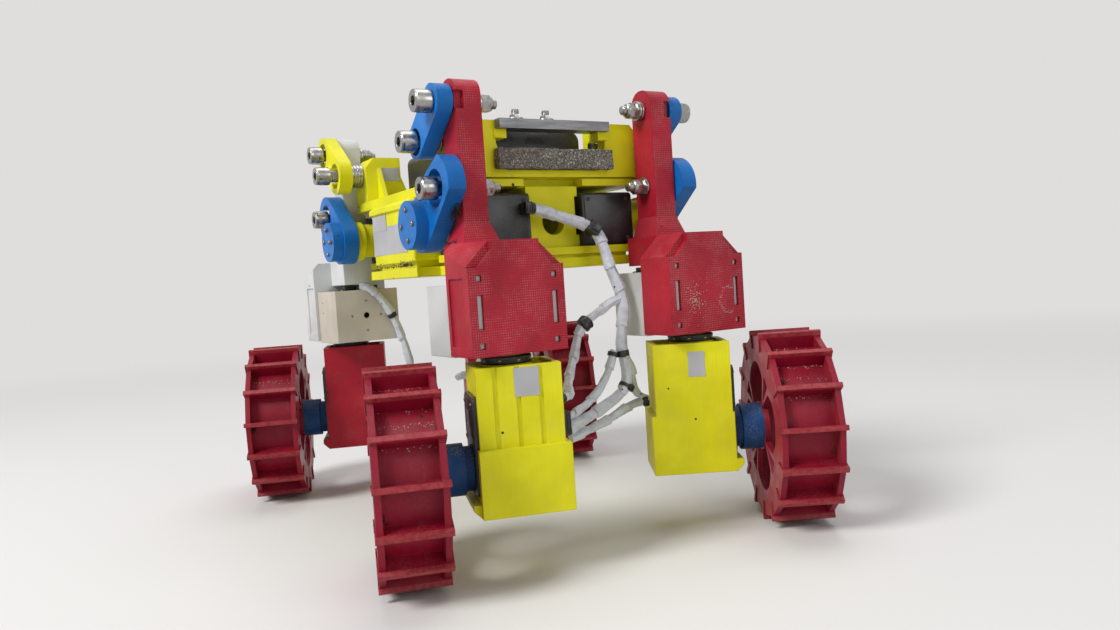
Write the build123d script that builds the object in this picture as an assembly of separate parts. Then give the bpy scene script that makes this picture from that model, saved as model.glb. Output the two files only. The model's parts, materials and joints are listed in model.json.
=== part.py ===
"""Four-wheel planetary rover prototype, 3-D printed around twelve small smart servos.

Millimetres, +X forward, +Y left, +Z up, origin on the ground under the middle of the rover.
Each corner has a lift servo, a parallel pair of links, a leg with a steering housing, a
knuckle with the drive servo, and a wheel. Every corner piece is drawn once, for the front
left corner, and mirrored to the other three. Pieces that aren't the same at both ends or on
both sides take that as an argument.
"""
import math
import os
from build123d import *

os.makedirs("parts", exist_ok=True)

# Corners: name, fore (+1 front, -1 rear), side (+1 left, -1 right), steering angle at rest
CORNERS = [
    ("front_left", 1, 1, -31.0),
    ("front_right", 1, -1, -18.0),
    ("rear_left", -1, 1, -21.0),
    ("rear_right", -1, -1, -21.0),
]

# Smart servo, the size that the rest is drawn around
SERVO_LONG = 50.0
SERVO_WIDE = 32.0
SERVO_DEEP = 36.0
SERVO_CORNER_R = 3.0
HORN_END = 12.0          # horn axis from the near end of the servo
PRINT_WALL = 3.0

# Wheel
WHEEL_R = 56.0           # over the grousers
WHEEL_WIDE = 34.0
DRUM_R = 46.2
DRUM_WALL = 3.0
RIM_R = 53.4             # over the corners of the many-sided rims
RIM_THICK = 3.2
GROUSERS = 15
GROUSER_THICK = 2.8
GROUSER_PROUD = 0.8      # past each rim
SPOKES = 4               # pairs of thin ribs
HUB_SEAT_R = 14.0
WINDOW_TOP_R = 37.8
AXLE_Z = WHEEL_R
HUB_R = 13.4
HORN_R = 11.5

# Steering axis, and the wheel's middle plane outboard of it
STEER_X = 127.0
STEER_Y = 61.0
WHEEL_OUT = 55.0
WHEEL_IN = STEER_Y + WHEEL_OUT - WHEEL_WIDE / 2

# Knuckle
KNUCKLE_TOP = 108.5
KNUCKLE_BOTTOM = 34.0
BOX_TOP = 68.0
BOX_PROUD = 3.5
HORN_DISC_R = 12.8
HORN_DISC_TOP = 112.5
NECK_R = 7.5

# Steering housing on the leg
HOUSING_HALF = 27.0
HOUSING_FRONT = 145.0
HOUSING_BACK = 119.0
HOUSING_Z = 114.0
SHOULDER_Z = 158.0
ROOF_HALF = 13.5
ROOF_TOP = 171.0
ROOF_BACK = 89.0
FLARE_TOP = 183.0
COVER_BACK = 85.5
COVER_HALF = 25.0
COVER_Z = 113.0
COVER_TALL = 37.0

# Lift linkage: lower pivot is the lift servo's horn axis
LIFT_X = 74.0
LIFT_Z = 184.0
LINK_RUN = 24.0
LINK_RISE = 17.5
PIVOT_SPACING = 45.5
LINK_Y = 71.5            # inner face of both links
LINK_THICK = 10.0
UPPER_THICK = 9.0
LINK_WEB = 3.0           # floor left under each recess
COLLAR_R = 18.0
RECESS_R = 10.2
ARM_HALF = 12.5
DISC_R = 13.5
DISC_OUT = 88.8          # outer face of the disc on the horn
FLANGE_R = 13.4
FLANGE_THICK = 6.0
UPRIGHT_IN = 56.0
UPRIGHT_OUT = 70.5
UPRIGHT_BACK = 89.5
UPRIGHT_FRONT = 108.5
BOLT_R = 4.0
SWING_GAP = 2.2
HEAD_R = 5.9
HEAD_LONG = 9.4
HEAD_IN = 80.8
THREAD_R = 2.5
WASHER_R = 5.6
SPACER_R = 8.0
NUT_R = 4.9
NUT_LONG = 6.0

LEG_X = LIFT_X + LINK_RUN
LEG_Z = LIFT_Z + LINK_RISE
UPPER_Z = LIFT_Z + PIVOT_SPACING
LEG_UPPER_Z = LEG_Z + PIVOT_SPACING
LINK_OUT = LINK_Y + LINK_THICK

# Chassis
BASE_Z = 156.0
BASE_THICK = 5.5
SLOT_TALL = 2.0
RAIL_THICK = 4.5
BASE_HALF_LONG = 86.0
BASE_HALF_WIDE = 56.0
WING_HALF_LONG = 40.0
WING_HALF_WIDE = 71.0
RAIL_TOP = BASE_Z + BASE_THICK + SLOT_TALL + RAIL_THICK
SERVO_IN = 18.0          # inner end of the lift servo
SERVO_Z = LIFT_Z - SERVO_WIDE / 2
SERVO_FRONT = LIFT_X + HORN_END
COLUMN_WAIST = 15.5
COLUMN_FLANGE_HALF = 17.6
COLUMN_FRONT = 81.5
COLUMN_PLATE = 3.0
COLUMN_HOLE_R = 7.5
BOX_HALF_LONG = 34.0
BOX_HALF_WIDE = 70.0
DECK_Z = 204.0
DECK_THICK = 6.0
DECK_HALF_LONG = 74.0
DECK_HALF_WIDE = 64.0
BAND_Z = 209.0
BAND_TOP = 213.0
BAND_OUT = 62.0
FLANGE_IN = 20.0
TOWER_IN = 37.0
TOWER_OUT = 62.0
TOWER_TOP = 241.0
TOWER_HALF = 12.0
BAR_Z = 235.7
BAR_THICK = 5.5
BAR_FRONT = 92.0
STUD_Y = (-23.5, -3.5)

# Cables: bundle sizes, and their routes through space
TRUNK_D = 5.6
BRANCH_D = 4.6
LEAD_D = 5.0


def cyl_x(x0, x1, y, z, r):
    """Cylinder along X."""
    return Pos((x0 + x1) / 2, y, z) * Rot(0, 90, 0) * Cylinder(r, abs(x1 - x0))


def cyl_y(x, y0, y1, z, r):
    """Cylinder along Y."""
    return Pos(x, (y0 + y1) / 2, z) * Rot(90, 0, 0) * Cylinder(r, abs(y1 - y0))


def cyl_z(x, y, z0, z1, r):
    """Cylinder along Z."""
    return Pos(x, y, (z0 + z1) / 2) * Cylinder(r, abs(z1 - z0))


def block(x0, x1, y0, y1, z0, z1):
    """Box between two corners."""
    return Pos((x0 + x1) / 2, (y0 + y1) / 2, (z0 + z1) / 2) * Box(x1 - x0, y1 - y0, z1 - z0)


def hex_y(x, y0, y1, z, corner_r):
    """Hexagonal prism along Y."""
    face = Plane.XZ * Pos(x, z) * RegularPolygon(corner_r, 6)
    return Pos(0, y1, 0) * extrude(face, y1 - y0)


def plate_y(outline, y0, y1):
    """Plate along Y from an outline drawn in X and Z."""
    return Pos(0, y1, 0) * extrude(Plane.XZ * outline, y1 - y0)


def plate_x(outline, x0, x1):
    """Plate along X from an outline drawn in Y and Z."""
    return Pos(x0, 0, 0) * extrude(Plane.YZ * outline, x1 - x0)


def four_corners(shape):
    """A chassis piece at every corner, from its front left copy."""
    ends = [shape, mirror(shape, Plane.YZ)]
    return ends + [mirror(piece, Plane.XZ) for piece in ends]


# Chassis


def base_plate():
    """Cross-shaped floor, and above a narrow slot the rails that the lift servos sit on."""
    outline = Rectangle(2 * BASE_HALF_LONG, 2 * BASE_HALF_WIDE)
    outline += Rectangle(2 * WING_HALF_LONG, 2 * WING_HALF_WIDE)
    floor = Pos(0, 0, BASE_Z) * extrude(outline, BASE_THICK)
    slot_z = BASE_Z + BASE_THICK
    for fore in (1, -1):
        back, front = SERVO_FRONT - SERVO_LONG, BASE_HALF_LONG
        spacer = block(back + 3, front - 3, -BASE_HALF_WIDE + 6, BASE_HALF_WIDE - 6,
                       slot_z, slot_z + SLOT_TALL)
        rail = block(back, front, -BASE_HALF_WIDE + 1, BASE_HALF_WIDE - 1,
                     slot_z + SLOT_TALL, RAIL_TOP)
        step = spacer + rail
        floor += step if fore > 0 else mirror(step, Plane.YZ)
    return floor


def column():
    """Bracket between the two lift servos of an end: waisted plate with a round hole, and a box."""
    wide, waist = COLUMN_FLANGE_HALF, COLUMN_WAIST
    foot_top, neck = RAIL_TOP + 7, DECK_Z - 6
    half = make_face(Polyline((0, RAIL_TOP), (wide, RAIL_TOP), (wide, foot_top),
                              (waist, foot_top), (waist, neck), (wide, neck),
                              (wide, DECK_Z), (0, DECK_Z), close=True))
    inside = COLUMN_FRONT - COLUMN_PLATE
    plate = plate_x(half + mirror(half, Plane.YZ), inside, COLUMN_FRONT)
    back = SERVO_FRONT - SERVO_LONG
    box = block(back, inside, -waist, waist, RAIL_TOP, DECK_Z)
    box -= block(back - 1, inside - 4, -waist + 3, waist - 3, RAIL_TOP + 4, DECK_Z - 4)
    return plate + box - cyl_x(inside - 6, COLUMN_FRONT + 1, 0, LIFT_Z - 1, COLUMN_HOLE_R)


def lift_servo():
    """Servo lying on its side, horn outboard."""
    body = block(SERVO_FRONT - SERVO_LONG, SERVO_FRONT, SERVO_IN, SERVO_IN + SERVO_DEEP,
                 SERVO_Z, SERVO_Z + SERVO_WIDE)
    return fillet(body.edges().filter_by(Axis.Y), SERVO_CORNER_R)


def electronics_box():
    """Wide box for the electronics, on a narrower foot, with a lid that overhangs."""
    floor = BASE_Z + BASE_THICK
    foot = block(-BOX_HALF_LONG + 3, BOX_HALF_LONG - 3, -BOX_HALF_WIDE + 3, BOX_HALF_WIDE - 3,
                 floor, floor + 4)
    case = block(-BOX_HALF_LONG, BOX_HALF_LONG, -BOX_HALF_WIDE, BOX_HALF_WIDE, floor + 4, 198)
    case = fillet(case.edges().filter_by(Axis.Z), 1.5)
    lid = block(-BOX_HALF_LONG - 1, BOX_HALF_LONG + 1, -BOX_HALF_WIDE - 1.5, BOX_HALF_WIDE + 1.5,
                198, DECK_Z - 1)
    lid = chamfer(lid.faces().sort_by(Axis.Z)[-1].edges(), 2)
    return foot + case + lid


def tower():
    """Front left tower of the deck, with a slanted inner edge, a cut outer corner and a fin."""
    face = Polyline((TOWER_IN - 7, DECK_Z + DECK_THICK), (TOWER_OUT, DECK_Z + DECK_THICK),
                    (TOWER_OUT, TOWER_TOP - 7), (TOWER_OUT - 6, TOWER_TOP), (TOWER_IN, TOWER_TOP),
                    (TOWER_IN, DECK_Z + 24), close=True)
    back, front = LIFT_X - TOWER_HALF, LIFT_X + TOWER_HALF
    body = plate_x(make_face(face), back, front)
    fin = Polyline((back, DECK_Z + DECK_THICK), (back, DECK_Z + DECK_THICK + 24),
                   (back - 12, DECK_Z + DECK_THICK), close=True)
    body += plate_y(make_face(fin), TOWER_OUT - 11, TOWER_OUT - 8)
    body -= cyl_y(LIFT_X, TOWER_IN - 1, TOWER_OUT + 1, UPPER_Z, BOLT_R + 0.1)
    body -= hex_y(LIFT_X, TOWER_IN - 8, TOWER_IN + 1 + NUT_LONG, UPPER_Z, NUT_R + 0.2)
    return body


def deck():
    """Top tray: floor, a cross band on flange blocks at each end, and four towers."""
    tray = Pos(0, 0, DECK_Z) * extrude(Rectangle(2 * DECK_HALF_LONG, 2 * DECK_HALF_WIDE),
                                       DECK_THICK)
    for fore in (1, -1):
        x0, x1 = DECK_HALF_LONG - 1, BASE_HALF_LONG
        band = block(x0, x1, -BAND_OUT, BAND_OUT, BAND_Z, BAND_TOP)
        for y0, y1 in ((-BAND_OUT, -FLANGE_IN), (FLANGE_IN, BAND_OUT)):
            band += block(x0, x1 - 1.5, y0, y1, DECK_Z, BAND_Z - 0.8)
            band += block(x0, x1 - 4, y0, y1, DECK_Z, BAND_Z)
        tray += band if fore > 0 else mirror(band, Plane.YZ)
    for piece in four_corners(tower()):
        tray += piece
    tab = block(BAR_FRONT - 14, BAR_FRONT - 4, TOWER_IN - 6, TOWER_IN + 1, BAR_Z - 5, BAR_Z)
    return tray + tab + mirror(tab, Plane.XZ)


def battery_pack():
    """Dark pack in the middle of the deck."""
    pack = block(-55, 61.5, -34, 34, DECK_Z + DECK_THICK, 240)
    return fillet(pack.edges().filter_by(Axis.X), 6)


def foam_pad():
    """Block of packing foam lying across the front band of the deck."""
    pad = block(BASE_HALF_LONG + 0.2, BAR_FRONT, -39, 39, BAND_TOP, 225)
    return pad + block(DECK_HALF_LONG + 0.5, BASE_HALF_LONG + 0.2, -29.5, 29.5, BAND_TOP, 225)


def top_bar():
    """Aluminium bar between the front towers, with two studs on washers."""
    bar = block(BAR_FRONT - 12, BAR_FRONT, -TOWER_IN, TOWER_IN, BAR_Z, BAR_Z + BAR_THICK)
    for y in STUD_Y:
        bar += cyl_z(BAR_FRONT - 6, y, BAR_Z + BAR_THICK, BAR_Z + BAR_THICK + 1, 4.5)
        bar += cyl_z(BAR_FRONT - 6, y, BAR_Z + BAR_THICK, BAR_Z + BAR_THICK + 6, 2.0)
    return bar


def bolt_y(x, z, tip, nut_out, head_in):
    """Shoulder screw along Y, socket head outboard, its thinner thread in the nut."""
    bolt = cyl_y(x, nut_out, head_in, z, BOLT_R)
    bolt += cyl_y(x, tip, nut_out, z, THREAD_R)
    bolt += cyl_y(x, head_in, head_in + HEAD_LONG, z, HEAD_R)
    bolt -= hex_y(x, head_in + HEAD_LONG - 4, head_in + HEAD_LONG + 1, z, 3.0)
    return bolt + hex_y(x, nut_out - NUT_LONG, nut_out, z, NUT_R)


def chassis_bolt(pulled=0.0):
    """Upper link's bolt through a tower, with the spacer washers between tower and link."""
    bolt = bolt_y(LIFT_X, UPPER_Z, TOWER_IN - 3, TOWER_IN + 1 + NUT_LONG, HEAD_IN + pulled)
    return bolt + cyl_y(LIFT_X, TOWER_OUT, LINK_Y - 0.4, UPPER_Z, SPACER_R)


def chassis_bolts():
    """The four upper bolts; the rear right one stands out of its link."""
    bolts = four_corners(chassis_bolt())
    bolts[3] = mirror(mirror(chassis_bolt(pulled=4.0), Plane.YZ), Plane.XZ)
    return Compound(children=bolts)


# Links


def cut_recess(link, x, z, radius, opening):
    """Round recess for a bolt head in a link's outer face, open through one edge."""
    floor = LINK_Y + LINK_WEB
    link -= cyl_y(x, floor, LINK_OUT + 1, z, radius)
    mouth = block(x, x + 22, floor, LINK_OUT + 1, z - 0.45 * radius, z + 0.75 * radius)
    return link - (mouth if opening > 0 else mirror(mouth, Plane.YZ.offset(x)))


def lower_link(fore):
    """Crank driven by the horn: hub with its disc, arm, and a collar open to the rear."""
    hub = Pos(LIFT_X, LIFT_Z) * Circle(COLLAR_R - 2.5)
    collar = Pos(LEG_X, LEG_Z) * Circle(COLLAR_R)
    arm = make_hull((Pos(LIFT_X, LIFT_Z) * Circle(ARM_HALF)
                     + Pos(LEG_X, LEG_Z) * Circle(ARM_HALF)).edges())
    if fore > 0:
        flat = make_face(Polyline((LEG_X - 40, LEG_Z - 9), (LEG_X - 10.6, LEG_Z + 9.6),
                                  (LEG_X + 6, LEG_Z + 17), (LEG_X + 6, LEG_Z + 40),
                                  (LEG_X - 40, LEG_Z + 40), close=True))
        outline = hub + arm + (collar - flat)
    else:
        collar = Pos(LEG_X, LEG_Z) * Circle(COLLAR_R - 2)
        below = make_face(Polyline((LIFT_X, LIFT_Z), (LEG_X, LEG_Z), (LEG_X + 24, LEG_Z - 33),
                                   (LIFT_X + 24, LIFT_Z - 33), close=True))
        outline = make_hull((hub + collar).edges()) - below + hub + collar + arm
    link = plate_y(outline, LINK_Y, LINK_OUT)
    link += cyl_y(LIFT_X, LINK_OUT - 1, DISC_OUT, LIFT_Z, DISC_R)
    link = cut_recess(link, LEG_X, LEG_Z, RECESS_R, -fore)
    return link - cyl_y(LEG_X, LINK_Y - 1, LINK_OUT, LEG_Z, BOLT_R + 0.15)


def horn_flange():
    """Round flange between the lift servo's horn and the lower link."""
    flange = cyl_y(LIFT_X, LINK_Y - FLANGE_THICK, LINK_Y, LIFT_Z, FLANGE_R)
    return flange + cyl_y(LIFT_X, SERVO_IN + SERVO_DEEP + 0.3, LINK_Y - FLANGE_THICK, LIFT_Z, HORN_R)


def upper_link(fore):
    """Thick bar; the front ones are slim, the rear ones are hooked round both bolts."""
    radius = 9.5 if fore > 0 else 12.5
    outline = make_hull((Pos(LIFT_X, UPPER_Z) * Circle(radius)
                         + Pos(LEG_X, LEG_UPPER_Z) * Circle(radius)).edges())
    bar = plate_y(outline, LINK_Y, LINK_Y + UPPER_THICK)
    bar -= cyl_y(LIFT_X, LINK_Y - 1, LINK_OUT + 1, UPPER_Z, BOLT_R + 0.15)
    bar -= cyl_y(LEG_X, LINK_Y - 1, LINK_OUT + 1, LEG_UPPER_Z, BOLT_R + 1.0)
    if fore > 0:
        return bar - cyl_y(LIFT_X, LINK_Y + LINK_WEB, LINK_OUT, UPPER_Z, 7.4)
    bar = cut_recess(bar, LIFT_X, UPPER_Z, 8.4, 1)
    return cut_recess(bar, LEG_X, LEG_UPPER_Z, 8.4, 1)


# Leg


def housing():
    """Steering housing: front plate with shoulders, hipped body behind it, hollow for the servo."""
    y, half, roof = STEER_Y, HOUSING_HALF, ROOF_HALF
    z0, z1, z2 = HOUSING_Z, SHOULDER_Z, ROOF_TOP
    plate_front = Polyline((y - half, z0), (y + half, z0), (y + half, z1), (y + half - 6, z1),
                           (y + roof, z2 - 5), (y + roof, z2), (y - roof, z2), (y - roof, z2 - 5),
                           (y - half + 6, z1), (y - half, z1), close=True)
    body_front = Polyline((y - half, z0), (y + half, z0), (y + half, z2), (y - roof, z2),
                          (y - half, z1), close=True)
    wall = HOUSING_FRONT - PRINT_WALL
    body = plate_x(make_face(body_front), HOUSING_BACK, wall)
    hip = Plane(origin=(wall, y + half, z1), z_dir=(121.5, 299.0, 310.5))
    body -= hip * Pos(0, 0, 30) * Box(160, 160, 60)
    body -= block(HOUSING_BACK + 3, wall - 3, y + half - 1, y + half + 1, z0 + 5, z1 - 5)
    body += plate_x(make_face(plate_front), wall, HOUSING_FRONT)
    pocket = SERVO_WIDE / 2 + 0.3
    body -= block(HOUSING_BACK - 1, wall, y - pocket, y + pocket, z0 - 1, z0 + SERVO_DEEP)
    for side in (-1, 1):
        row = y + side * 21.2
        body -= block(wall - 6, HOUSING_FRONT + 1, row - 1.6, row + 1.6, z0 + 13.6, z0 + 30.4)
        for dz in (-16.6, 16.6):
            body -= block(wall - 6, HOUSING_FRONT + 1, row - 1.5, row + 1.5,
                          z0 + 22 + dz - 1.5, z0 + 22 + dz + 1.5)
    return body


def leg():
    """Upright, flare, roof block and steering housing, printed in one piece."""
    body = housing()
    body += block(ROOF_BACK, HOUSING_BACK + 1, STEER_Y - ROOF_HALF, STEER_Y + ROOF_HALF,
                  COVER_Z + COVER_TALL + 4, ROOF_TOP)
    mid_y = (UPRIGHT_IN + UPRIGHT_OUT) / 2
    foot = Pos((ROOF_BACK + 113) / 2, 63, ROOF_TOP) * Rectangle(113 - ROOF_BACK, 22)
    neck = Pos((UPRIGHT_BACK + UPRIGHT_FRONT) / 2, mid_y, FLARE_TOP) * Rectangle(
        UPRIGHT_FRONT - UPRIGHT_BACK, UPRIGHT_OUT - UPRIGHT_IN)
    swing = make_hull((Pos(LIFT_X + 0.8, LIFT_Z - 1) * Circle(COLLAR_R - 2.5 + SWING_GAP)
                       + Pos(LEG_X, LEG_Z) * Circle(ARM_HALF + SWING_GAP)).edges())
    body += loft([foot, neck]) - plate_y(make_face(swing), LINK_Y - 0.8, LINK_OUT)
    upright = block(UPRIGHT_BACK, UPRIGHT_FRONT, UPRIGHT_IN, UPRIGHT_OUT, FLARE_TOP,
                    LEG_UPPER_Z + 12)
    upright = fillet(upright.edges().filter_by(Axis.Y).group_by(Axis.Z)[-1], 9)
    upright -= block(UPRIGHT_FRONT - 3, UPRIGHT_FRONT + 1, UPRIGHT_OUT - 4.5, UPRIGHT_OUT + 1,
                     LEG_UPPER_Z - 5, LEG_UPPER_Z + 4.5)
    body += upright
    body += cyl_y(LEG_X, UPRIGHT_IN - 2, UPRIGHT_IN, LEG_UPPER_Z, WASHER_R)
    for z in (LEG_Z, LEG_UPPER_Z):
        body -= cyl_y(LEG_X, UPRIGHT_IN - 3, UPRIGHT_OUT + 1, z, BOLT_R + 0.1)
    return body


def leg_bolts():
    """The two big pivot bolts through the upright, with their washers and nuts."""
    lower = bolt_y(LEG_X, LEG_Z, UPRIGHT_IN - 12.5, UPRIGHT_IN - 1.5, HEAD_IN)
    lower += cyl_y(LEG_X, UPRIGHT_IN - 1.5, UPRIGHT_IN, LEG_Z, WASHER_R)
    upper = bolt_y(LEG_X, LEG_UPPER_Z, UPRIGHT_IN - 13.5, UPRIGHT_IN - 3.5, HEAD_IN)
    upper += cyl_y(LEG_X, UPRIGHT_IN - 3.5, UPRIGHT_IN - 2, LEG_UPPER_Z, WASHER_R)
    return Compound(children=[lower, upper])


def steer_cover():
    """Open-topped shell over the back of the steering servo, with a holed end face."""
    y, mid_z = STEER_Y, COVER_Z + COVER_TALL / 2
    shell = block(COVER_BACK, HOUSING_BACK - 0.5, y - COVER_HALF, y + COVER_HALF,
                  COVER_Z, COVER_Z + COVER_TALL)
    end = shell.faces().sort_by(Axis.X)[0]
    shell = chamfer(end.edges().filter_by(Axis.Z), 3)
    inner = SERVO_WIDE / 2 + 0.3
    shell -= block(COVER_BACK + 2, HOUSING_BACK, y - inner, y + inner,
                   COVER_Z + 2, COVER_Z + COVER_TALL + 1)
    shell -= cyl_x(COVER_BACK - 1, COVER_BACK + 3, y, mid_z, 2.2)
    for dy, dz in ((0, 10.7), (10.7, 0), (0, -10.7), (-10.7, 0)):
        shell -= cyl_x(COVER_BACK - 1, COVER_BACK + 1.2, y + dy, mid_z + dz, 0.8)
    return shell


def steer_servo():
    """Servo over its horn, its long side fore and aft, up against the housing's roof."""
    front = STEER_X + HORN_END
    body = block(front - SERVO_LONG + 4, front, STEER_Y - SERVO_WIDE / 2, STEER_Y + SERVO_WIDE / 2,
                 HOUSING_Z + 4, HOUSING_Z + SERVO_DEEP)
    return fillet(body.edges().filter_by(Axis.Z), SERVO_CORNER_R)


# Knuckle, drawn straight ahead


def knuckle(box_side):
    """Shell round the drive servo, open outboard, its lower box standing proud on one face."""
    x, y = STEER_X, STEER_Y
    body = block(x - 19, x + 19, y - 24.5, y + 19, BOX_TOP - 1, KNUCKLE_TOP)
    body += block(x - 19, x + 19 + BOX_PROUD, y - 27, y + 20, KNUCKLE_BOTTOM, BOX_TOP)
    lip = block(x - 19, x + 19, y + 19, y + 24, KNUCKLE_BOTTOM, KNUCKLE_BOTTOM + 7)
    body += chamfer(lip.edges().filter_by(Axis.X).sort_by(Axis.Y)[-2:].sort_by(Axis.Z)[:1], 4)
    for dy in (9.5, -2.0, -13.5):
        body -= block(x + 18.2, x + 20, y + dy - 1.1, y + dy + 1.1, BOX_TOP, KNUCKLE_TOP + 1)
    body -= block(x - 16.4, x + 15.6, y - 21.5, y + 16, KNUCKLE_TOP - 1.8, KNUCKLE_TOP + 1)
    if box_side < 0:
        body = mirror(body, Plane.YZ.offset(x))
    body -= block(x - 16.2, x + 16.2, y - 15.2, y + 30,
                  AXLE_Z - HORN_END - 1, AXLE_Z - HORN_END + SERVO_LONG + 0.2)
    body += cyl_z(x, y, KNUCKLE_TOP - 2, HORN_DISC_TOP, HORN_DISC_R)
    return body + cyl_z(x, y, HORN_DISC_TOP, HOUSING_Z + 3.7, NECK_R)


def wheel_servo():
    """Drive servo standing on end, horn outboard at the bottom."""
    z0 = AXLE_Z - HORN_END
    body = block(STEER_X - SERVO_WIDE / 2, STEER_X + SERVO_WIDE / 2,
                 STEER_Y - 15, STEER_Y - 15 + SERVO_DEEP, z0, z0 + SERVO_LONG)
    return fillet(body.edges().filter_by(Axis.Y), SERVO_CORNER_R)


def wheel_hub():
    """Stepped hub from the drive servo's horn to the wheel's inner side."""
    face = STEER_Y - 15 + SERVO_DEEP + 0.3
    hub = cyl_y(STEER_X, face, face + 4.5, AXLE_Z, HORN_R)
    return hub + cyl_y(STEER_X, face + 4.5, WHEEL_IN, AXLE_Z, HUB_R)


def wheel_side():
    """Many-sided side plate: big arched windows, and a slot in each spoke leaving two thin ribs."""
    outline = RegularPolygon(RIM_R, GROUSERS, rotation=-90)
    foot = 0.72 * HUB_SEAT_R
    arch = make_face([
        ThreePointArc((foot - 0.4, foot), (0, HUB_SEAT_R), (-foot + 0.4, foot)),
        Line((-foot + 0.4, foot), (-16.5, 26)),
        ThreePointArc((-16.5, 26), (0, WINDOW_TOP_R), (16.5, 26)),
        Line((16.5, 26), (foot - 0.4, foot)),
    ])
    slot = make_face(Polyline((-0.6, 19), (0.6, 19), (4.8, 34.5), (-4.8, 34.5), close=True))
    for i in range(SPOKES):
        turn = i * 360 / SPOKES + 10
        outline -= Rot(0, 0, turn) * arch
        outline -= Rot(0, 0, turn + 180 / SPOKES) * slot
    return outline


def wheel():
    """Wheel: drum between two windowed sides, and flat bar grousers across them."""
    half = WHEEL_WIDE / 2
    side = wheel_side()
    body = plate_y(side, -half, -half + RIM_THICK) + plate_y(side, half - RIM_THICK, half)
    body += plate_y(Circle(DRUM_R) - Circle(DRUM_R - DRUM_WALL), -half, half)
    bar = block(-GROUSER_THICK / 2, GROUSER_THICK / 2, -half - GROUSER_PROUD, half + GROUSER_PROUD,
                -WHEEL_R, -DRUM_R + 1)
    for i in range(GROUSERS):
        body += Rot(0, i * 360 / GROUSERS, 0) * bar
    return Pos(STEER_X, STEER_Y + WHEEL_OUT, AXLE_Z) * body


# Cables: taped bundles, as straight runs joined by arcs as large as the runs allow

TRUNK = [
    (91.8, -18.8, 190.5), (91.8, -7.3, 187.1), (92.5, 6.1, 183.1), (93.5, 18.9, 178.8),
    (97.0, 22.3, 171.8), (101.0, 22.7, 161.6), (105.0, 23.6, 151.0), (108.0, 26.5, 141.3),
    (110.0, 27.2, 131.9), (110.5, 25.2, 122.6), (110.5, 23.3, 113.5), (111.0, 22.9, 104.1),
    (112.0, 24.6, 95.6), (112.5, 24.6, 87.2), (113.0, 17.8, 80.5), (113.0, 7.5, 75.6),
    (113.0, -4.6, 70.6), (113.0, -17.5, 66.2),
]
BRANCH = [
    (111.0, 17.4, 106.5), (111.0, 13.6, 96.2), (112.0, 7.2, 87.4), (112.5, -0.4, 80.4),
    (113.0, -8.9, 75.8), (113.0, -17.5, 72.6),
]
LEADS = {
    "front_left": [
        (113.0, -16.6, 60.2), (112.0, -5.2, 63.0), (110.2, 7.6, 65.6), (108.2, 18.6, 69.0),
        (107.7, 27.6, 72.4), (110.0, 33.6, 74.2), (113.2, 38.6, 74.9),
    ],
    "front_right": [
        (107.0, 21.0, 134.6), (105.0, 13.2, 129.3), (103.0, 2.9, 122.9), (102.5, -1.9, 115.6),
        (104.0, -4.9, 106.7), (107.5, -10.5, 98.0), (113.5, -16.5, 92.0), (121.5, -21.5, 89.0),
        (129.0, -25.6, 87.6), (133.7, -30.6, 87.1), (134.5, -36.0, 87.0),
    ],
    "rear_right": [
        (-82.1, -60.6, 152.6), (-82.0, -54.6, 147.4), (-81.8, -47.4, 138.6),
        (-81.8, -42.2, 128.2), (-82.0, -38.2, 117.8), (-82.4, -34.9, 106.6),
        (-84.0, -32.0, 96.0), (-89.4, -29.6, 87.0), (-97.4, -28.8, 80.4),
        (-105.6, -29.8, 76.4), (-112.6, -32.4, 74.6), (-117.5, -36.6, 74.0),
    ],
    "rear_left": [
        (-82.1, 60.6, 152.6), (-82.0, 54.6, 147.4), (-81.8, 47.4, 138.6),
        (-81.8, 42.2, 128.2), (-82.0, 38.2, 117.8), (-82.4, 34.9, 106.6),
        (-84.0, 31.0, 96.0), (-89.8, 27.2, 87.0), (-98.8, 23.8, 80.0),
        (-109.8, 21.8, 76.0), (-120.4, 22.6, 74.4), (-128.9, 27.0, 74.0),
        (-133.5, 34.4, 74.0),
    ],
}


def cable(points, diameter):
    """Round bundle along a route, and its length and smallest bend."""
    spots = [Vector(*p) for p in points]
    radii = []
    for before, here, after in zip(spots, spots[1:], spots[2:]):
        run_in, run_out = here - before, after - here
        turn = math.radians(run_in.get_angle(run_out))
        radii.append(0.45 * min(run_in.length, run_out.length) / math.tan(turn / 2))
    path = FilletPolyline(*spots, radius=radii)
    section = Plane(origin=path @ 0, z_dir=path % 0) * Circle(diameter / 2)
    return sweep(section, path=path), path.length, min(radii)


def harness_fittings():
    """Plug beside the column, clip on the trunk, tie at the fork, and the connector at its end."""
    plug = block(SERVO_FRONT, 96.5, -28, -18.8, 186, 195.5)
    clip = Pos(94.2, 18.9, 178.4) * Rot(-25, 0, 0) * Box(11.4, 8, 8)
    tie = cyl_z(111.0, 20.6, 101.6, 106.0, 7.2)
    end = block(109, 117, -25.2, -17.5, 62.8, 76.5)
    return Compound(children=[plug, clip, tie, end])


# Writing every piece


def save(shape, name):
    shape.label = name
    export_step(shape, f"parts/{name}.step")


def place(shape, fore, side, steer=0.0):
    """Mirror a front left piece to its corner, then turn it about that steering axis."""
    if fore < 0:
        shape = mirror(shape, Plane.YZ)
    if side < 0:
        shape = mirror(shape, Plane.XZ)
    if steer:
        shape = shape.rotate(Axis((fore * STEER_X, side * STEER_Y, 0), (0, 0, 1)), steer)
    return shape


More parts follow.
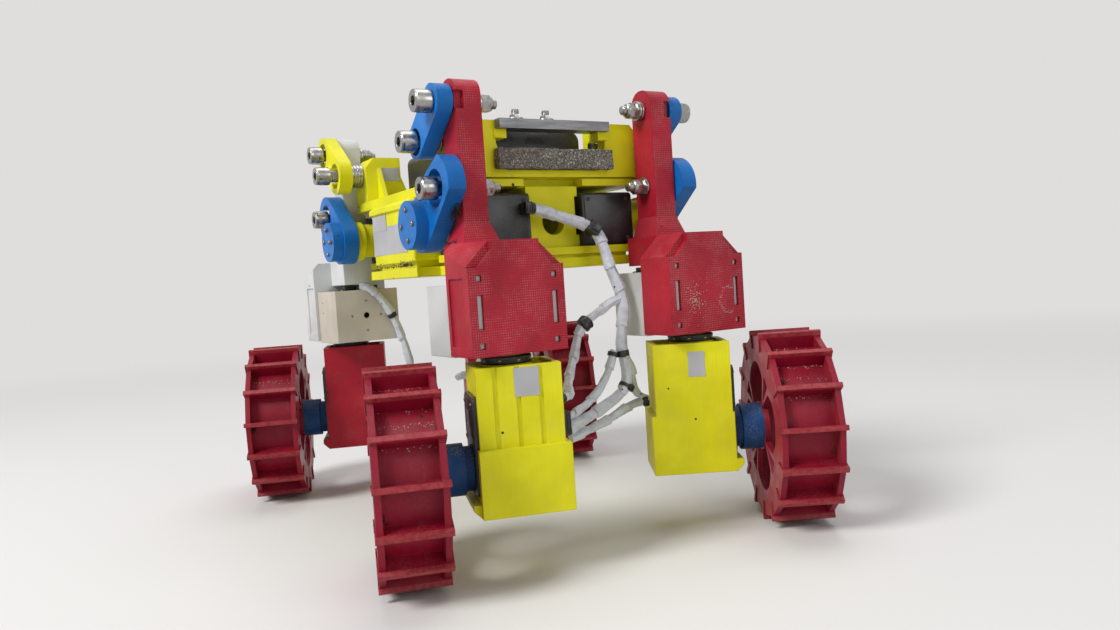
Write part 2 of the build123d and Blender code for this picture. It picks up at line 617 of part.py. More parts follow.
CHASSIS = {
    "base_plate": base_plate(),
    "columns": Compound(children=[column(), mirror(column(), Plane.YZ)]),
    "electronics_box": electronics_box(),
    "deck": deck(),
    "battery_pack": battery_pack(),
    "foam_pad": foam_pad(),
    "top_bar": top_bar(),
    "lift_servos": Compound(children=four_corners(lift_servo())),
    "upper_pivot_bolts": chassis_bolts(),
    "harness_fittings": harness_fittings(),
}
SAME = {"horn_flange": horn_flange(), "leg": leg(), "leg_bolts": leg_bolts(),
        "steer_cover": steer_cover(), "steer_servo": steer_servo()}
STEERED = {"wheel_servo": wheel_servo(), "wheel_hub": wheel_hub(), "wheel": wheel()}

for name, shape in CHASSIS.items():
    save(shape, name)
for corner, fore, side, steer in CORNERS:
    for name, shape in SAME.items():
        save(place(shape, fore, side), f"{corner}_{name}")
    save(place(lower_link(fore), fore, side), f"{corner}_lower_link")
    save(place(upper_link(fore), fore, side), f"{corner}_upper_link")
    for name, shape in STEERED.items():
        save(place(shape, fore, side, steer), f"{corner}_{name}")
    save(place(knuckle(-side), fore, side, steer), f"{corner}_knuckle")

CABLES = {"harness": (TRUNK, TRUNK_D), "harness_branch": (BRANCH, BRANCH_D)}
CABLES.update({f"{corner}_lead": (points, LEAD_D) for corner, points in LEADS.items()})
for name, (points, diameter) in CABLES.items():
    solid, length, bend = cable(points, diameter)
    section = math.pi * diameter ** 2 / 4
    print(f"{name}: length {length:.1f} mm, smallest bend {bend:.1f} mm, "
          f"volume over section times length {solid.volume / (section * length):.4f}")
    save(solid, name)
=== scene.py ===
# %% [markdown]
# # A printed rover, dressed around its CAD frame
#
# The rover is a small laboratory prototype: yellow, red, white and blue printed parts, zinc
# bolts, black servos and white taped cables. The shapes with real sizes come from the packed
# frame. This lesson gives them their finishes and adds what is too fine for CAD: knurling,
# threads, tape seams, labels, connectors and a block of rough foam.

import json
import math
import random

import bmesh
import bpy
from mathutils import Matrix, Vector, noise


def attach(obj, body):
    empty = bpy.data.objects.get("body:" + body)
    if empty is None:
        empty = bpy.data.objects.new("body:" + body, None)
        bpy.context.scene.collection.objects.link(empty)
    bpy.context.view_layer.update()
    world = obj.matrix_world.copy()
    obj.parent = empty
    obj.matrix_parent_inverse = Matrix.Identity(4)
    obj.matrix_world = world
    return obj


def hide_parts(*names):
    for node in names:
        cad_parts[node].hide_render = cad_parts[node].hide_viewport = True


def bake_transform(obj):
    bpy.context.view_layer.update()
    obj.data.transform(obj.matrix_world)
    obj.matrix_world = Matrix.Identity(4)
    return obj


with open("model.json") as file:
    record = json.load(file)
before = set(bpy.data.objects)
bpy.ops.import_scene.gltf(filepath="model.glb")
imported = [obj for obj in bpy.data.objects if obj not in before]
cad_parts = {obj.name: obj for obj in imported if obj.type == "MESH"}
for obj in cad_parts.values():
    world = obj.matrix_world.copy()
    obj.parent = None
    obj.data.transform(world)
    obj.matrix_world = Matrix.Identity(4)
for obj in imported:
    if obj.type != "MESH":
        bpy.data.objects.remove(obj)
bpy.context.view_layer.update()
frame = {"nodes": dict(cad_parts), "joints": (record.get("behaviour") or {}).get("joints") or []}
NODES = frame["nodes"]
MM = 0.001

# %% [markdown]
# ## Camera
#
# The picture was taken from low in front of the rover, a little to its right. The camera's
# place and its three axes were worked out from about fifty points on the parts. Blender's
# camera looks along its own -Z, so its matrix is written straight from those axes.

# %% Camera
IMAGE_WIDE = 1120
FOCAL_PIXELS = 885.6
SENSOR_MM = 36.0
EYE = Vector((0.5320, -0.2703, 0.1527))
EYE_RIGHT = Vector((0.51657, 0.85381, -0.06446))
EYE_UP = Vector((-0.00706, 0.07953, 0.99681))
EYE_BACK = Vector((0.85622, -0.51447, 0.04711))


def make_camera():
    lens = bpy.data.cameras.new("rover_camera")
    lens.sensor_width = SENSOR_MM
    lens.lens = FOCAL_PIXELS / IMAGE_WIDE * SENSOR_MM
    lens.clip_start = 0.01
    camera = bpy.data.objects.new("rover_camera", lens)
    bpy.context.scene.collection.objects.link(camera)
    axes = Matrix((EYE_RIGHT, EYE_UP, EYE_BACK)).transposed()
    camera.matrix_world = Matrix.Translation(EYE) @ axes.to_4x4()
    bpy.context.scene.camera = camera
    return camera


print("camera at", [round(x, 3) for x in make_camera().matrix_world.translation])

# %% [markdown]
# ## The four corners
#
# All four corners are one design, mirrored and then steered. Its main sizes are the places of
# the front left joints, which the frame knows. They are turned into millimetres here. A short
# function takes any point to another corner, so each piece below is described only once.

# %% Corner sizes
CORNERS = {   # forward or back, left or right, steering angle in degrees
    "front_left": (1, 1, -31.0),
    "front_right": (1, -1, -18.0),
    "rear_left": (-1, 1, -21.0),
    "rear_right": (-1, -1, -21.0),
}
X_AXIS, Y_AXIS, Z_AXIS = Vector((1, 0, 0)), Vector((0, 1, 0)), Vector((0, 0, 1))


def joint_place(name):
    joint = next(joint for joint in frame["joints"] if joint["name"] == f"front_left_{name}")
    return [round(part / MM, 3) for part in joint["pos_m"]]


STEER_X, STEER_Y, _ = joint_place("steer")
AXLE_Z = joint_place("spin")[2]
LIFT_X, _, LIFT_Z = joint_place("lift")            # lower link's inner pivot, on the servo's horn
LEG_X, _, LEG_Z = joint_place("leg_level")         # its outer pivot, on the leg
UPPER_Z = joint_place("upper_follow")[2]           # upper link's inner pivot
LINK_RUN, LINK_RISE = LEG_X - LIFT_X, LEG_Z - LIFT_Z


def at_corner(corner, x, y, z, steered=False):
    """Front left millimetres taken to a corner, turned with its knuckle if steered."""
    fore, side, steer = CORNERS[corner]
    point = Vector((fore * x, side * y, z))
    if steered:
        pivot = Vector((fore * STEER_X, side * STEER_Y, 0))
        point = pivot + Matrix.Rotation(math.radians(steer), 3, "Z") @ (point - pivot)
    return point


def corner_direction(corner, x, y, z, steered=False):
    """A front left direction taken to a corner."""
    return at_corner(corner, x, y, z, steered) - at_corner(corner, 0, 0, 0, steered)


print("links reach", LINK_RUN, "mm out and", LINK_RISE, "mm up; the axles stand at", AXLE_Z, "mm")

# %% [markdown]
# ## Pieces of mesh
#
# A shape is a list of points in millimetres and a list of faces. Several shapes can be gathered into one
# mesh object, because a bolt is a head, a thread and a nut in one. Each object then gets its material and
# rides on its body.

# %% Mesh objects from shapes
def gather(name, shapes, sharp_degrees=40):
    """One mesh object from several shapes, smooth but for its sharp edges."""
    points, faces = [], []
    for more_points, more_faces in shapes:
        first = len(points)
        points += [Vector(point) * MM for point in more_points]
        faces += [tuple(first + i for i in face) for face in more_faces]
    mesh = bpy.data.meshes.new(name)
    mesh.from_pydata(points, [], faces)
    mesh.update()
    mesh.shade_smooth()
    mesh.set_sharp_from_angle(angle=math.radians(sharp_degrees))
    piece = bpy.data.objects.new(name, mesh)
    bpy.context.scene.collection.objects.link(piece)
    return piece


def paint(piece, material):
    """Give a piece its material."""
    piece.data.materials.append(material)


def fit(name, shapes, body, material, sharp_degrees=40):
    """Gather shapes into a piece that rides on a body."""
    piece = gather(name, shapes, sharp_degrees)
    paint(piece, material)
    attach(piece, body)
    return piece


print("pieces are gathered, painted and fitted")

# %% [markdown]
# ## Turned shapes
#
# Screw heads, washers, threads and tape are all turned: a profile goes round an axis. A ripple
# on its radius gives knurls, threads and notches, which a plain cylinder lacks.

# %% Turned shapes
def side_axes(axis):
    """Two directions across an axis."""
    axis = Vector(axis).normalized()
    helper = Z_AXIS if abs(axis.z) < 0.9 else X_AXIS
    across = axis.cross(helper).normalized()
    return across, axis.cross(across)


def ring_faces(rings, around, inward=False):
    """Squares between neighbouring rings of points."""
    faces = []
    for ring in range(rings - 1):
        for i in range(around):
            a, b = ring * around + i, ring * around + (i + 1) % around
            c, d = a + around, b + around
            faces.append((a, b, d, c) if inward else (a, c, d, b))
    return faces


def turned(origin, axis, profile, around=32, ripple=None):
    """Shape of a profile of (along, radius) pairs turned about an axis."""
    origin, axis = Vector(origin), Vector(axis).normalized()
    u, v = side_axes(axis)
    points = []
    for along, radius in profile:
        for i in range(around):
            angle = 2 * math.pi * i / around
            reach = radius + (ripple(along, angle, i) if ripple and radius > 0.01 else 0.0)
            points.append(origin + axis * along
                          + (u * math.cos(angle) + v * math.sin(angle)) * max(reach, 0.0))
    return points, ring_faces(len(profile), around)


print("a washer would have", len(turned((0, 0, 0), Z_AXIS, [(0, 3), (0, 5), (1, 5), (1, 3)])[1]), "faces")

# %% [markdown]
# ## Boxes
#
# Plugs and lids are boxes. A sharp box looks drawn, so its edges are rounded. A box can also be
# built lying flat and then stood up on a face, which is simpler for a lid or a sticker.

# %% Boxes
def taken_from(shape, unit=1.0):
    """Points and faces of a bmesh, which is then freed."""
    shape.verts.index_update()
    points = [vertex.co / unit for vertex in shape.verts]
    faces = [tuple(vertex.index for vertex in face.verts) for face in shape.faces]
    shape.free()
    return points, faces


def bevelled_box(low, high, bevel=0.5, segments=2):
    """Shape of a box with rounded edges."""
    shape = bmesh.new()
    bmesh.ops.create_cube(shape, size=1.0)
    low, high = Vector(low), Vector(high)
    for vertex in shape.verts:
        vertex.co = Vector(low[a] + (high[a] - low[a]) * (vertex.co[a] + 0.5) for a in range(3))
    bmesh.ops.bevel(shape, geom=shape.edges[:], offset=bevel, segments=segments, profile=0.5,
                    affect="EDGES", clamp_overlap=True)
    return taken_from(shape)


def corner_box(corner, first, second, bevel, segments=2):
    """Box between two front left points, taken to a corner."""
    ends = [at_corner(corner, *first), at_corner(corner, *second)]
    low = [min(a, b) for a, b in zip(*ends)]
    high = [max(a, b) for a, b in zip(*ends)]
    return bevelled_box(low, high, bevel, segments)


def placed(shape, centre, wide_way, tall_way, bend=None):
    """A flat-lying shape stood up on a face: its x along one way, its y along the other."""
    wide_way, tall_way = Vector(wide_way).normalized(), Vector(tall_way).normalized()
    proud_way = wide_way.cross(tall_way)
    points = [Vector(centre) + wide_way * p.x + tall_way * p.y
              + proud_way * (p.z + (bend(p) if bend else 0.0)) for p in shape[0]]
    return points, shape[1]


print("a bevelled box has", len(bevelled_box((0, 0, 0), (1, 1, 1), 0.1)[1]), "faces")

# %% [markdown]
# Foam and curled labels need a box of fine squares, which a relief can push in and out. Each
# point is shared by the squares round it, so that the skin stays closed.

# %% Box of fine squares
def rounded_grid(low, high, step, radius, relief=None):
    """Rounded box of fine squares, pushed in or out by a relief."""
    low, high = Vector(low), Vector(high)
    counts = [max(1, round((high[a] - low[a]) / step)) for a in range(3)]
    known, points, faces = {}, [], []

    def spot(key):
        if key not in known:
            place = Vector(low[a] + (high[a] - low[a]) * key[a] / counts[a] for a in range(3))
            core = Vector(min(max(place[a], low[a] + radius), high[a] - radius) for a in range(3))
            way = (place - core).normalized()
            known[key] = len(points)
            points.append(core + way * (radius + (relief(place) if relief else 0.0)))
        return known[key]

    for axis in range(3):
        u, v = [a for a in range(3) if a != axis]
        for level in (0, counts[axis]):
            flip = (level == 0) != (axis == 1)
            for i in range(counts[u]):
                for j in range(counts[v]):
                    quad = []
                    for di, dj in ((0, 0), (1, 0), (1, 1), (0, 1)):
                        key = [0, 0, 0]
                        key[axis], key[u], key[v] = level, i + di, j + dj
                        quad.append(spot(tuple(key)))
                    faces.append(tuple(reversed(quad)) if flip else tuple(quad))
    return points, faces


print("a fine box has", len(rounded_grid((0, 0, 0), (9, 9, 9), 3, 1)[1]), "squares")

# %% [markdown]
# ## Node helpers
#
# Materials are built in code, so a few short functions keep them readable: one adds a node,
# one feeds a socket with a number or a link, and one starts a group with named sockets.

# %% Node helpers
def add(tree, kind, **settings):
    node = tree.nodes.new(kind)
    for key, value in settings.items():
        setattr(node, key, value)
    return node


def feed(tree, socket, value):
    """Link a socket to another socket, or set it to a plain value."""
    if isinstance(value, bpy.types.NodeSocket):
        tree.links.new(value, socket)
    else:
        socket.default_value = value


def calc(tree, operation, *values, clamp=False):
    node = add(tree, "ShaderNodeMath", operation=operation, use_clamp=clamp)
    for socket, value in zip(node.inputs, values):
        feed(tree, socket, value)
    return node.outputs[0]


def times(tree, first, *factors):
    for factor in factors:
        first = calc(tree, "MULTIPLY", first, factor)
    return first


def arrows(tree, operation, *values):
    """Vector arithmetic: a number for a length or a dot product, else a vector."""
    node = add(tree, "ShaderNodeVectorMath", operation=operation)
    for socket, value in zip(node.inputs, values):
        feed(tree, socket, value)
    return node.outputs["Value" if operation in ("LENGTH", "DOT_PRODUCT") else "Vector"]


def split(tree, vector):
    """The X, Y and Z of a vector."""
    parts = add(tree, "ShaderNodeSeparateXYZ")
    feed(tree, parts.inputs[0], vector)
    return parts.outputs


def ramp(tree, value, low, high, to_low=0.0, to_high=1.0):
    """Map a value from one range to another, smoothly and clamped."""
    node = add(tree, "ShaderNodeMapRange", interpolation_type="SMOOTHSTEP")
    for name, setting in (("Value", value), ("From Min", low), ("From Max", high),
                          ("To Min", to_low), ("To Max", to_high)):
        feed(tree, node.inputs[name], setting)
    return node.outputs["Result"]


def blend_colour(tree, factor, first, second):
    node = add(tree, "ShaderNodeMix", data_type="RGBA")
    for socket, value in zip((0, 6, 7), (factor, first, second)):
        feed(tree, node.inputs[socket], value)
    return node.outputs[2]


def cloud(tree, vector, scale, detail=2.0, stretch=None):
    """Noise at a scale in metres, stretched along an axis if asked."""
    if stretch:
        mapping = add(tree, "ShaderNodeMapping")
        feed(tree, mapping.inputs["Vector"], vector)
        mapping.inputs["Scale"].default_value = stretch
        vector = mapping.outputs[0]
    node = add(tree, "ShaderNodeTexNoise")
    feed(tree, node.inputs["Vector"], vector)
    node.inputs["Scale"].default_value = 1.0 / scale
    node.inputs["Detail"].default_value = detail
    return node.outputs["Fac"]


def cells(tree, vector, density):
    """Random cells, so many to a metre: each one's distance and its three random numbers."""
    node = add(tree, "ShaderNodeTexVoronoi", feature="F1")
    feed(tree, node.inputs["Vector"], vector)
    node.inputs["Scale"].default_value = density
    pick = add(tree, "ShaderNodeSeparateColor")
    feed(tree, pick.inputs[0], node.outputs["Color"])
    return node.outputs["Distance"], pick.outputs


print("node helpers ready")

# %% [markdown]
# An effect that several materials use is a node group: it is built once, with named inputs and
# outputs, and each material sets its own values. Two functions make and place such groups.

# %% Node groups
def new_group(name, inputs, outputs):
    """Empty node group with named sockets, given as (name, kind, default) triples."""
    tree = bpy.data.node_groups.new(name, "ShaderNodeTree")
    for socket_name, kind, default in inputs:
        socket = tree.interface.new_socket(socket_name, in_out="INPUT", socket_type=kind)
        socket.default_value = default
    for socket_name in outputs:
        tree.interface.new_socket(socket_name, in_out="OUTPUT", socket_type="NodeSocketFloat")
    return tree, add(tree, "NodeGroupInput").outputs, add(tree, "NodeGroupOutput").inputs


def use_group(tree, group, **values):
    node = add(tree, "ShaderNodeGroup", node_tree=group)
    for key, value in values.items():
        feed(tree, node.inputs[key.replace("_", " ")], value)
    return node.outputs


def object_coordinates(tree):
    return add(tree, "ShaderNodeTexCoord").outputs["Object"]


print("groups can be made and placed")

# %% [markdown]
# ## Print layers
#
# A filament printer lays plastic in layers a third of a millimetre thick. On a side wall they
# show as fine parallel lines, with broader streaks where the heat changed. The group measures
# how far a point is along the printing direction, and turns that into a height and a tone.

# %% Shader group: print layers
STREAK_SCALE = 420.0


def make_print_layers():
    tree, given, result = new_group(
        "print_layers",
        [("Direction", "NodeSocketVector", (0, 0, 1)), ("Pitch", "NodeSocketFloat", 0.0004)],
        ["Height", "Tone"])
    place = object_coordinates(tree)
    along = calc(tree, "ADD", arrows(tree, "DOT_PRODUCT", place, given["Direction"]),
                 times(tree, cloud(tree, place, scale=0.012), 0.0003))
    turns = calc(tree, "DIVIDE", along, given["Pitch"])
    line = calc(tree, "SINE", times(tree, turns, 2 * math.pi))
    streak = add(tree, "ShaderNodeTexNoise", noise_dimensions="1D")
    feed(tree, streak.inputs["W"], times(tree, along, STREAK_SCALE))
    streak.inputs["Detail"].default_value = 4.0
    tone = streak.outputs["Fac"]
    feed(tree, result["Height"], calc(tree, "ADD", times(tree, line, 0.5), times(tree, tone, 1.6)))
    feed(tree, result["Tone"], tone)
    return tree


PRINT_LAYERS = make_print_layers()
print("group", PRINT_LAYERS.name)

# %% [markdown]
# ## Woven skin
#
# The first layer of a print shows the crossing strands laid on the bed. On the red leg plates they catch the
# light as rows of small pale dots, which are painted into the colour here as highlights. Two crossing waves
# give the strands, and their peaks give the painted dots, which fade out in smooth patches. Only faces
# square to X carry it.

# %% Shader group: woven skin
def make_woven_skin():
    tree, given, result = new_group("woven_skin", [("Strand", "NodeSocketFloat", 0.0011)],
                                    ["Height", "Painted Glint", "Mask"])
    coords = add(tree, "ShaderNodeTexCoord").outputs
    y, z = split(tree, coords["Object"])[1:]
    scale = calc(tree, "DIVIDE", math.pi, given["Strand"])
    waves = [calc(tree, "SINE", times(tree, calc(tree, way, y, z), scale)) for way in ("ADD", "SUBTRACT")]
    height = times(tree, *waves)
    uneven = ramp(tree, cloud(tree, coords["Object"], scale=0.0016, detail=1.0), 0.3, 0.7, 0.35, 1.0)
    patch = ramp(tree, cloud(tree, coords["Object"], scale=0.016, detail=2.0), 0.40, 0.58, 0.12, 1.0)
    facing = calc(tree, "ABSOLUTE", split(tree, coords["Normal"])["X"])
    feed(tree, result["Height"], height)
    # The pale dots at the strands' peaks are painted highlights.
    feed(tree, result["Painted Glint"], times(tree, ramp(tree, height, 0.15, 0.85), uneven, patch))
    feed(tree, result["Mask"], calc(tree, "GREATER_THAN", facing, 0.9))
    return tree


WOVEN_SKIN = make_woven_skin()
print("group", WOVEN_SKIN.name)

# %% [markdown]
# ## Dust and dirt
#
# The rover has driven through sand. Pale dust settles on upward faces and in patches, and
# small dark specks cling to the plastic. The group gives one mask for each, so that every
# material can mix them in its own amount.

# %% Shader group: dust and dirt
SPECKS_A_METRE = 260.0
SAND = (0.50, 0.43, 0.35, 1)
DIRT = (0.030, 0.022, 0.018, 1)


def make_sand_dirt():
    tree, given, result = new_group(
        "sand_dirt", [("Dust", "NodeSocketFloat", 0.3), ("Specks", "NodeSocketFloat", 0.05)],
        ["Dust", "Specks"])
    place = object_coordinates(tree)
    level = ramp(tree, split(tree, add(tree, "ShaderNodeNewGeometry").outputs["Normal"])["Z"], 0.2, 0.95)
    patch = ramp(tree, cloud(tree, place, scale=0.016, detail=4.0), 0.46, 0.72)
    grains = ramp(tree, cloud(tree, place, scale=0.0009, detail=1.0), 0.42, 0.66)
    settled = times(tree, level, ramp(tree, cloud(tree, place, scale=0.008, detail=3.0), 0.3, 0.6))
    amount = calc(tree, "ADD", times(tree, patch, 0.55), settled)
    feed(tree, result["Dust"],
         calc(tree, "MULTIPLY", times(tree, amount, grains), given["Dust"], clamp=True))
    distance, pick = cells(tree, place, SPECKS_A_METRE)
    chosen = calc(tree, "LESS_THAN", pick[0], given["Specks"])
    size = calc(tree, "LESS_THAN", distance, times(tree, pick[1], 0.26))
    feed(tree, result["Specks"], times(tree, chosen, size))
    return tree


SAND_DIRT = make_sand_dirt()
print("group", SAND_DIRT.name)

# %% [markdown]
# ## Scuffed wheels
#
# Where a wheel touches the ground, on the grousers' outer faces and the rims, its red has gone
# pale and dusty, while the pockets between the grousers stay deep red. The group measures each
# point's distance from the axle, and how squarely it faces along it.

# %% Shader group: wheel scuffs
SCUFFED = (0.46, 0.085, 0.075, 1)


def make_wheel_scuffs():
    tree, given, result = new_group(
        "wheel_scuffs",
        [("Centre", "NodeSocketVector", (0, 0, 0)), ("Axle", "NodeSocketVector", (0, 1, 0)),
         ("Tread Radius", "NodeSocketFloat", 0.0535)],
        ["Mask"])
    coords = add(tree, "ShaderNodeTexCoord").outputs
    arm = arrows(tree, "SUBTRACT", coords["Object"], given["Centre"])
    reach = arrows(tree, "LENGTH", arrows(tree, "CROSS_PRODUCT", arm, given["Axle"]))
    tread = calc(tree, "GREATER_THAN", reach, given["Tread Radius"])
    facing = calc(tree, "ABSOLUTE", arrows(tree, "DOT_PRODUCT", coords["Normal"], given["Axle"]))
    side = calc(tree, "GREATER_THAN", facing, 0.9)
    scratch = ramp(tree, cloud(tree, coords["Object"], scale=0.0022, detail=3.0), 0.30, 0.66, 0.25, 1.0)
    worn = calc(tree, "MAXIMUM", tread, times(tree, side, 0.75))
    feed(tree, result["Mask"], times(tree, worn, scratch))
    return tree


WHEEL_SCUFFS = make_wheel_scuffs()
print("group", WHEEL_SCUFFS.name)

# %% [markdown]
# ## One way to build a material
#
# Every material here ends in the same way: its colour goes under dust and specks, and its
# height becomes a bump. Rounding the edges in the shading costs no faces, and lets the corners
# of the prints catch the light as real ones do.

# %% Surfaces
def new_material(name):
    material = bpy.data.materials.new(name)
    material.use_nodes = True
    return material, material.node_tree, material.node_tree.nodes["Principled BSDF"]


def new_surface(name, dust, specks):
    """A new material: its tree, its place coordinates, and its masks of dust and specks."""
    material, tree, _ = new_material(name)
    return material, tree, object_coordinates(tree), use_group(tree, SAND_DIRT, Dust=dust, Specks=specks)


def bump(tree, height, strength, distance, edge=0.0):
    """Bump from a height, on edges that are rounded in the shading if asked."""
    node = add(tree, "ShaderNodeBump")
    if edge:
        soft = add(tree, "ShaderNodeBevel", samples=4)
        soft.inputs["Radius"].default_value = edge
        tree.links.new(soft.outputs["Normal"], node.inputs["Normal"])
    node.inputs["Strength"].default_value = strength
    node.inputs["Distance"].default_value = distance
    feed(tree, node.inputs["Height"], height)
    return node.outputs["Normal"]


def coat(tree, base, soil, roughness, normal):
    """Feed the shader with a colour under its dust and specks, a roughness and a normal."""
    shader = tree.nodes["Principled BSDF"]
    base = blend_colour(tree, soil["Dust"], base, SAND)
    base = blend_colour(tree, soil["Specks"], base, DIRT)
    for name, value in (("Base Color", base), ("Roughness", roughness), ("Normal", normal)):
        feed(tree, shader.inputs[name], value)
    return shader


def shade_of(colour, factor, lift=0.0):
    """A lighter or darker copy of a colour, opaque."""
    return tuple(min(1.0, part * factor + lift) for part in colour) + (1,)


print("surfaces share one ending")

# %% [markdown]
# ## Printed plastics
#
# All the coloured prints share one recipe: a plain colour, darker in the streaks, with layer
# lines as bump, dust and specks on top. Each material has its own printing direction, because
# parts were printed on different sides.

# %% Printed plastic
EDGE_ROUND = 0.0006     # metres of rounding that the shading shows
LAYER_DEEP = 0.00008    # metres of relief between two layers
STRAND_WIDE = 0.00125


def printed(name, colour, direction=Z_AXIS, gloss=0.42, streaks=0.25, woven_glint=0.0,
            dust=0.35, specks=0.03, relief=0.5, shade=0.78, axle=None):
    """A filament print layered along a direction, with scuffs and a weave of painted glints if asked."""
    material, tree, place, soil = new_surface(name, dust, specks)
    layers = use_group(tree, PRINT_LAYERS, Direction=direction)
    drift = ramp(tree, cloud(tree, place, scale=0.030, detail=3.0), 0.3, 0.7)
    deep = shade_of(colour, shade)
    base = blend_colour(tree, drift, deep, shade_of(colour, 1.08, 0.004))
    base = blend_colour(tree, times(tree, ramp(tree, layers["Tone"], 0.35, 0.65), streaks), base, deep)
    height = layers["Height"]
    if woven_glint:
        skin = use_group(tree, WOVEN_SKIN, Strand=STRAND_WIDE)
        # Painted highlights: pale dots on the weave's strands, mixed into the base colour.
        glint = times(tree, skin["Painted Glint"], skin["Mask"], woven_glint)
        base = blend_colour(tree, glint, base, shade_of(colour, 0.8, 0.30))
        height = calc(tree, "ADD", times(tree, skin["Height"], skin["Mask"], 2.4), height)
    if axle:
        scuffs = use_group(tree, WHEEL_SCUFFS, Centre=axle[0], Axle=axle[1])
        base = blend_colour(tree, times(tree, scuffs["Mask"], 0.45), base, SCUFFED)
    roughness = ramp(tree, cloud(tree, place, scale=0.010, detail=3.0), 0.3, 0.7, gloss - 0.07, gloss + 0.10)
    roughness = calc(tree, "ADD", roughness, times(tree, soil["Dust"], 0.4))
    shader = coat(tree, base, soil, roughness, bump(tree, height, relief, LAYER_DEEP, EDGE_ROUND))
    shader.inputs["Specular IOR Level"].default_value = 0.27
    return material


YELLOW = (0.76, 0.72, 0.003)
RED = (0.42, 0.008, 0.026)
WHEEL_RED = (0.27, 0.001, 0.019)
BLUE = (0.001, 0.155, 0.520)
# Painted shade: the links' blue as it looks in shadow, for the hubs deep inside the wheels.
BLUE_IN_PAINTED_SHADE = (0.006, 0.060, 0.20)
WHITE = (0.66, 0.67, 0.66)
BEIGE = (0.56, 0.51, 0.43)
PALE = (0.56, 0.57, 0.56)
CHASSIS_YELLOW = printed("chassis_yellow", YELLOW, dust=0.15, specks=0.05, streaks=0.15, shade=0.9)
UPPER_YELLOW = printed("upper_link_yellow", YELLOW, Y_AXIS, dust=0.1, shade=0.9)
# The red legs' weave carries pale dots, which are painted highlights.
LEG_RED = printed("leg_red", RED, X_AXIS, woven_glint=0.5, dust=0.10, relief=0.7)
LEG_WHITE = printed("leg_white", WHITE, X_AXIS, dust=0.10, gloss=0.5, shade=0.88)
LINK_BLUE = printed("link_blue", BLUE, Y_AXIS, gloss=0.36, dust=0.04, relief=0.9)
# The hubs' darker blue is painted shade.
HUB_PAINTED_SHADE_BLUE = printed("hub_painted_shade_blue", BLUE_IN_PAINTED_SHADE, Y_AXIS, gloss=0.5, dust=0.2)
COVER_BEIGE = printed("cover_beige", BEIGE, X_AXIS, gloss=0.55, dust=0.1, streaks=0.2, shade=0.92)
COVER_PALE = printed("cover_pale", PALE, X_AXIS, gloss=0.5, dust=0.1, streaks=0.2, shade=0.9)
print("printed plastics for the chassis, legs, links and covers")

# %% [markdown]
# The knuckles and wheels stand turned, so their layers do too. Their materials are made corner
# by corner, each with the direction that its wheel faces.

# %% Knuckle and wheel prints
KNUCKLE_SKIN, WHEEL_SKIN = {}, {}
for corner, (fore, side, steer) in CORNERS.items():
    outward = (-math.sin(math.radians(steer)), math.cos(math.radians(steer)), 0.0)
    front = fore > 0
    KNUCKLE_SKIN[corner] = printed(f"{corner}_knuckle_print", YELLOW if front else RED, outward,
                                   streaks=0.35, specks=0.04, dust=0.16, relief=0.7,
                                   shade=0.88 if front else 0.78)
    axle_point = tuple(at_corner(corner, STEER_X, STEER_Y, AXLE_Z) * MM)
    WHEEL_SKIN[corner] = printed(f"{corner}_wheel_print", WHEEL_RED, outward, gloss=0.40,
                                 streaks=0.45, dust=0.05, specks=0.08, relief=0.8,
                                 axle=(axle_point, outward))
print("steered prints:", len(KNUCKLE_SKIN) + len(WHEEL_SKIN))

# %% [markdown]
# ## Metal
#
# The bolts are zinc plated, with a soft uneven shine and brown grime. The bar is sawn
# aluminium, so its grain is stretched along it.

# %% Metals
def metal(name, colour, rough, grain, grime, brushed=None):
    material, tree, place, soil = new_surface(name, grime, 0.04)
    stain = ramp(tree, cloud(tree, place, scale=0.004, detail=4.0), 0.42, 0.75, 0.0, grime)
    streak = cloud(tree, place, grain, 3.0, stretch=brushed)
    base = blend_colour(tree, stain, (*colour, 1), shade_of(colour, 0.45))
    roughness = ramp(tree, streak, 0.3, 0.7, rough - 0.08, rough + 0.14)
    shader = coat(tree, base, soil, roughness, bump(tree, streak, strength=0.35, distance=0.00005))
    feed(tree, shader.inputs["Metallic"],
         calc(tree, "SUBTRACT", 1.0, times(tree, soil["Dust"], 0.9), clamp=True))
    return material


ZINC = metal("zinc_bolt", (0.36, 0.355, 0.34), rough=0.26, grain=0.0030, grime=0.14)
ALUMINIUM = metal("sawn_aluminium", (0.20, 0.205, 0.215), rough=0.46, grain=0.0016, grime=0.18,
                  brushed=(1, 0.08, 1))
SCREW_STEEL = metal("screw_steel", (0.24, 0.20, 0.17), rough=0.32, grain=0.001, grime=0.3)
print("metals:", ZINC.name, ALUMINIUM.name, SCREW_STEEL.name)

# %% [markdown]
# ## Moulded plastic, paper and grains
#
# Servo cases and plugs are black moulded plastic with a fine grain and greasy smears. Labels,
# shrink wrap, grit and sand look alike enough to share that recipe with other values.

# %% Moulded materials
def moulded(name, colour, rough, grain=0.0005, dust=0.2, specks=0.02, smudge=1.5):
    """Moulded plastic with a fine spark-eroded grain."""
    material, tree, place, soil = new_surface(name, dust, specks)
    smear = ramp(tree, cloud(tree, place, scale=0.015, detail=4.0), 0.35, 0.7)
    base = blend_colour(tree, smear, (*colour, 1), shade_of(colour, smudge, 0.004))
    coat(tree, base, soil,
         ramp(tree, smear, 0.0, 1.0, rough, rough + 0.15),
         bump(tree, cloud(tree, place, grain, detail=1.0), strength=0.4, distance=0.00004))
    return material


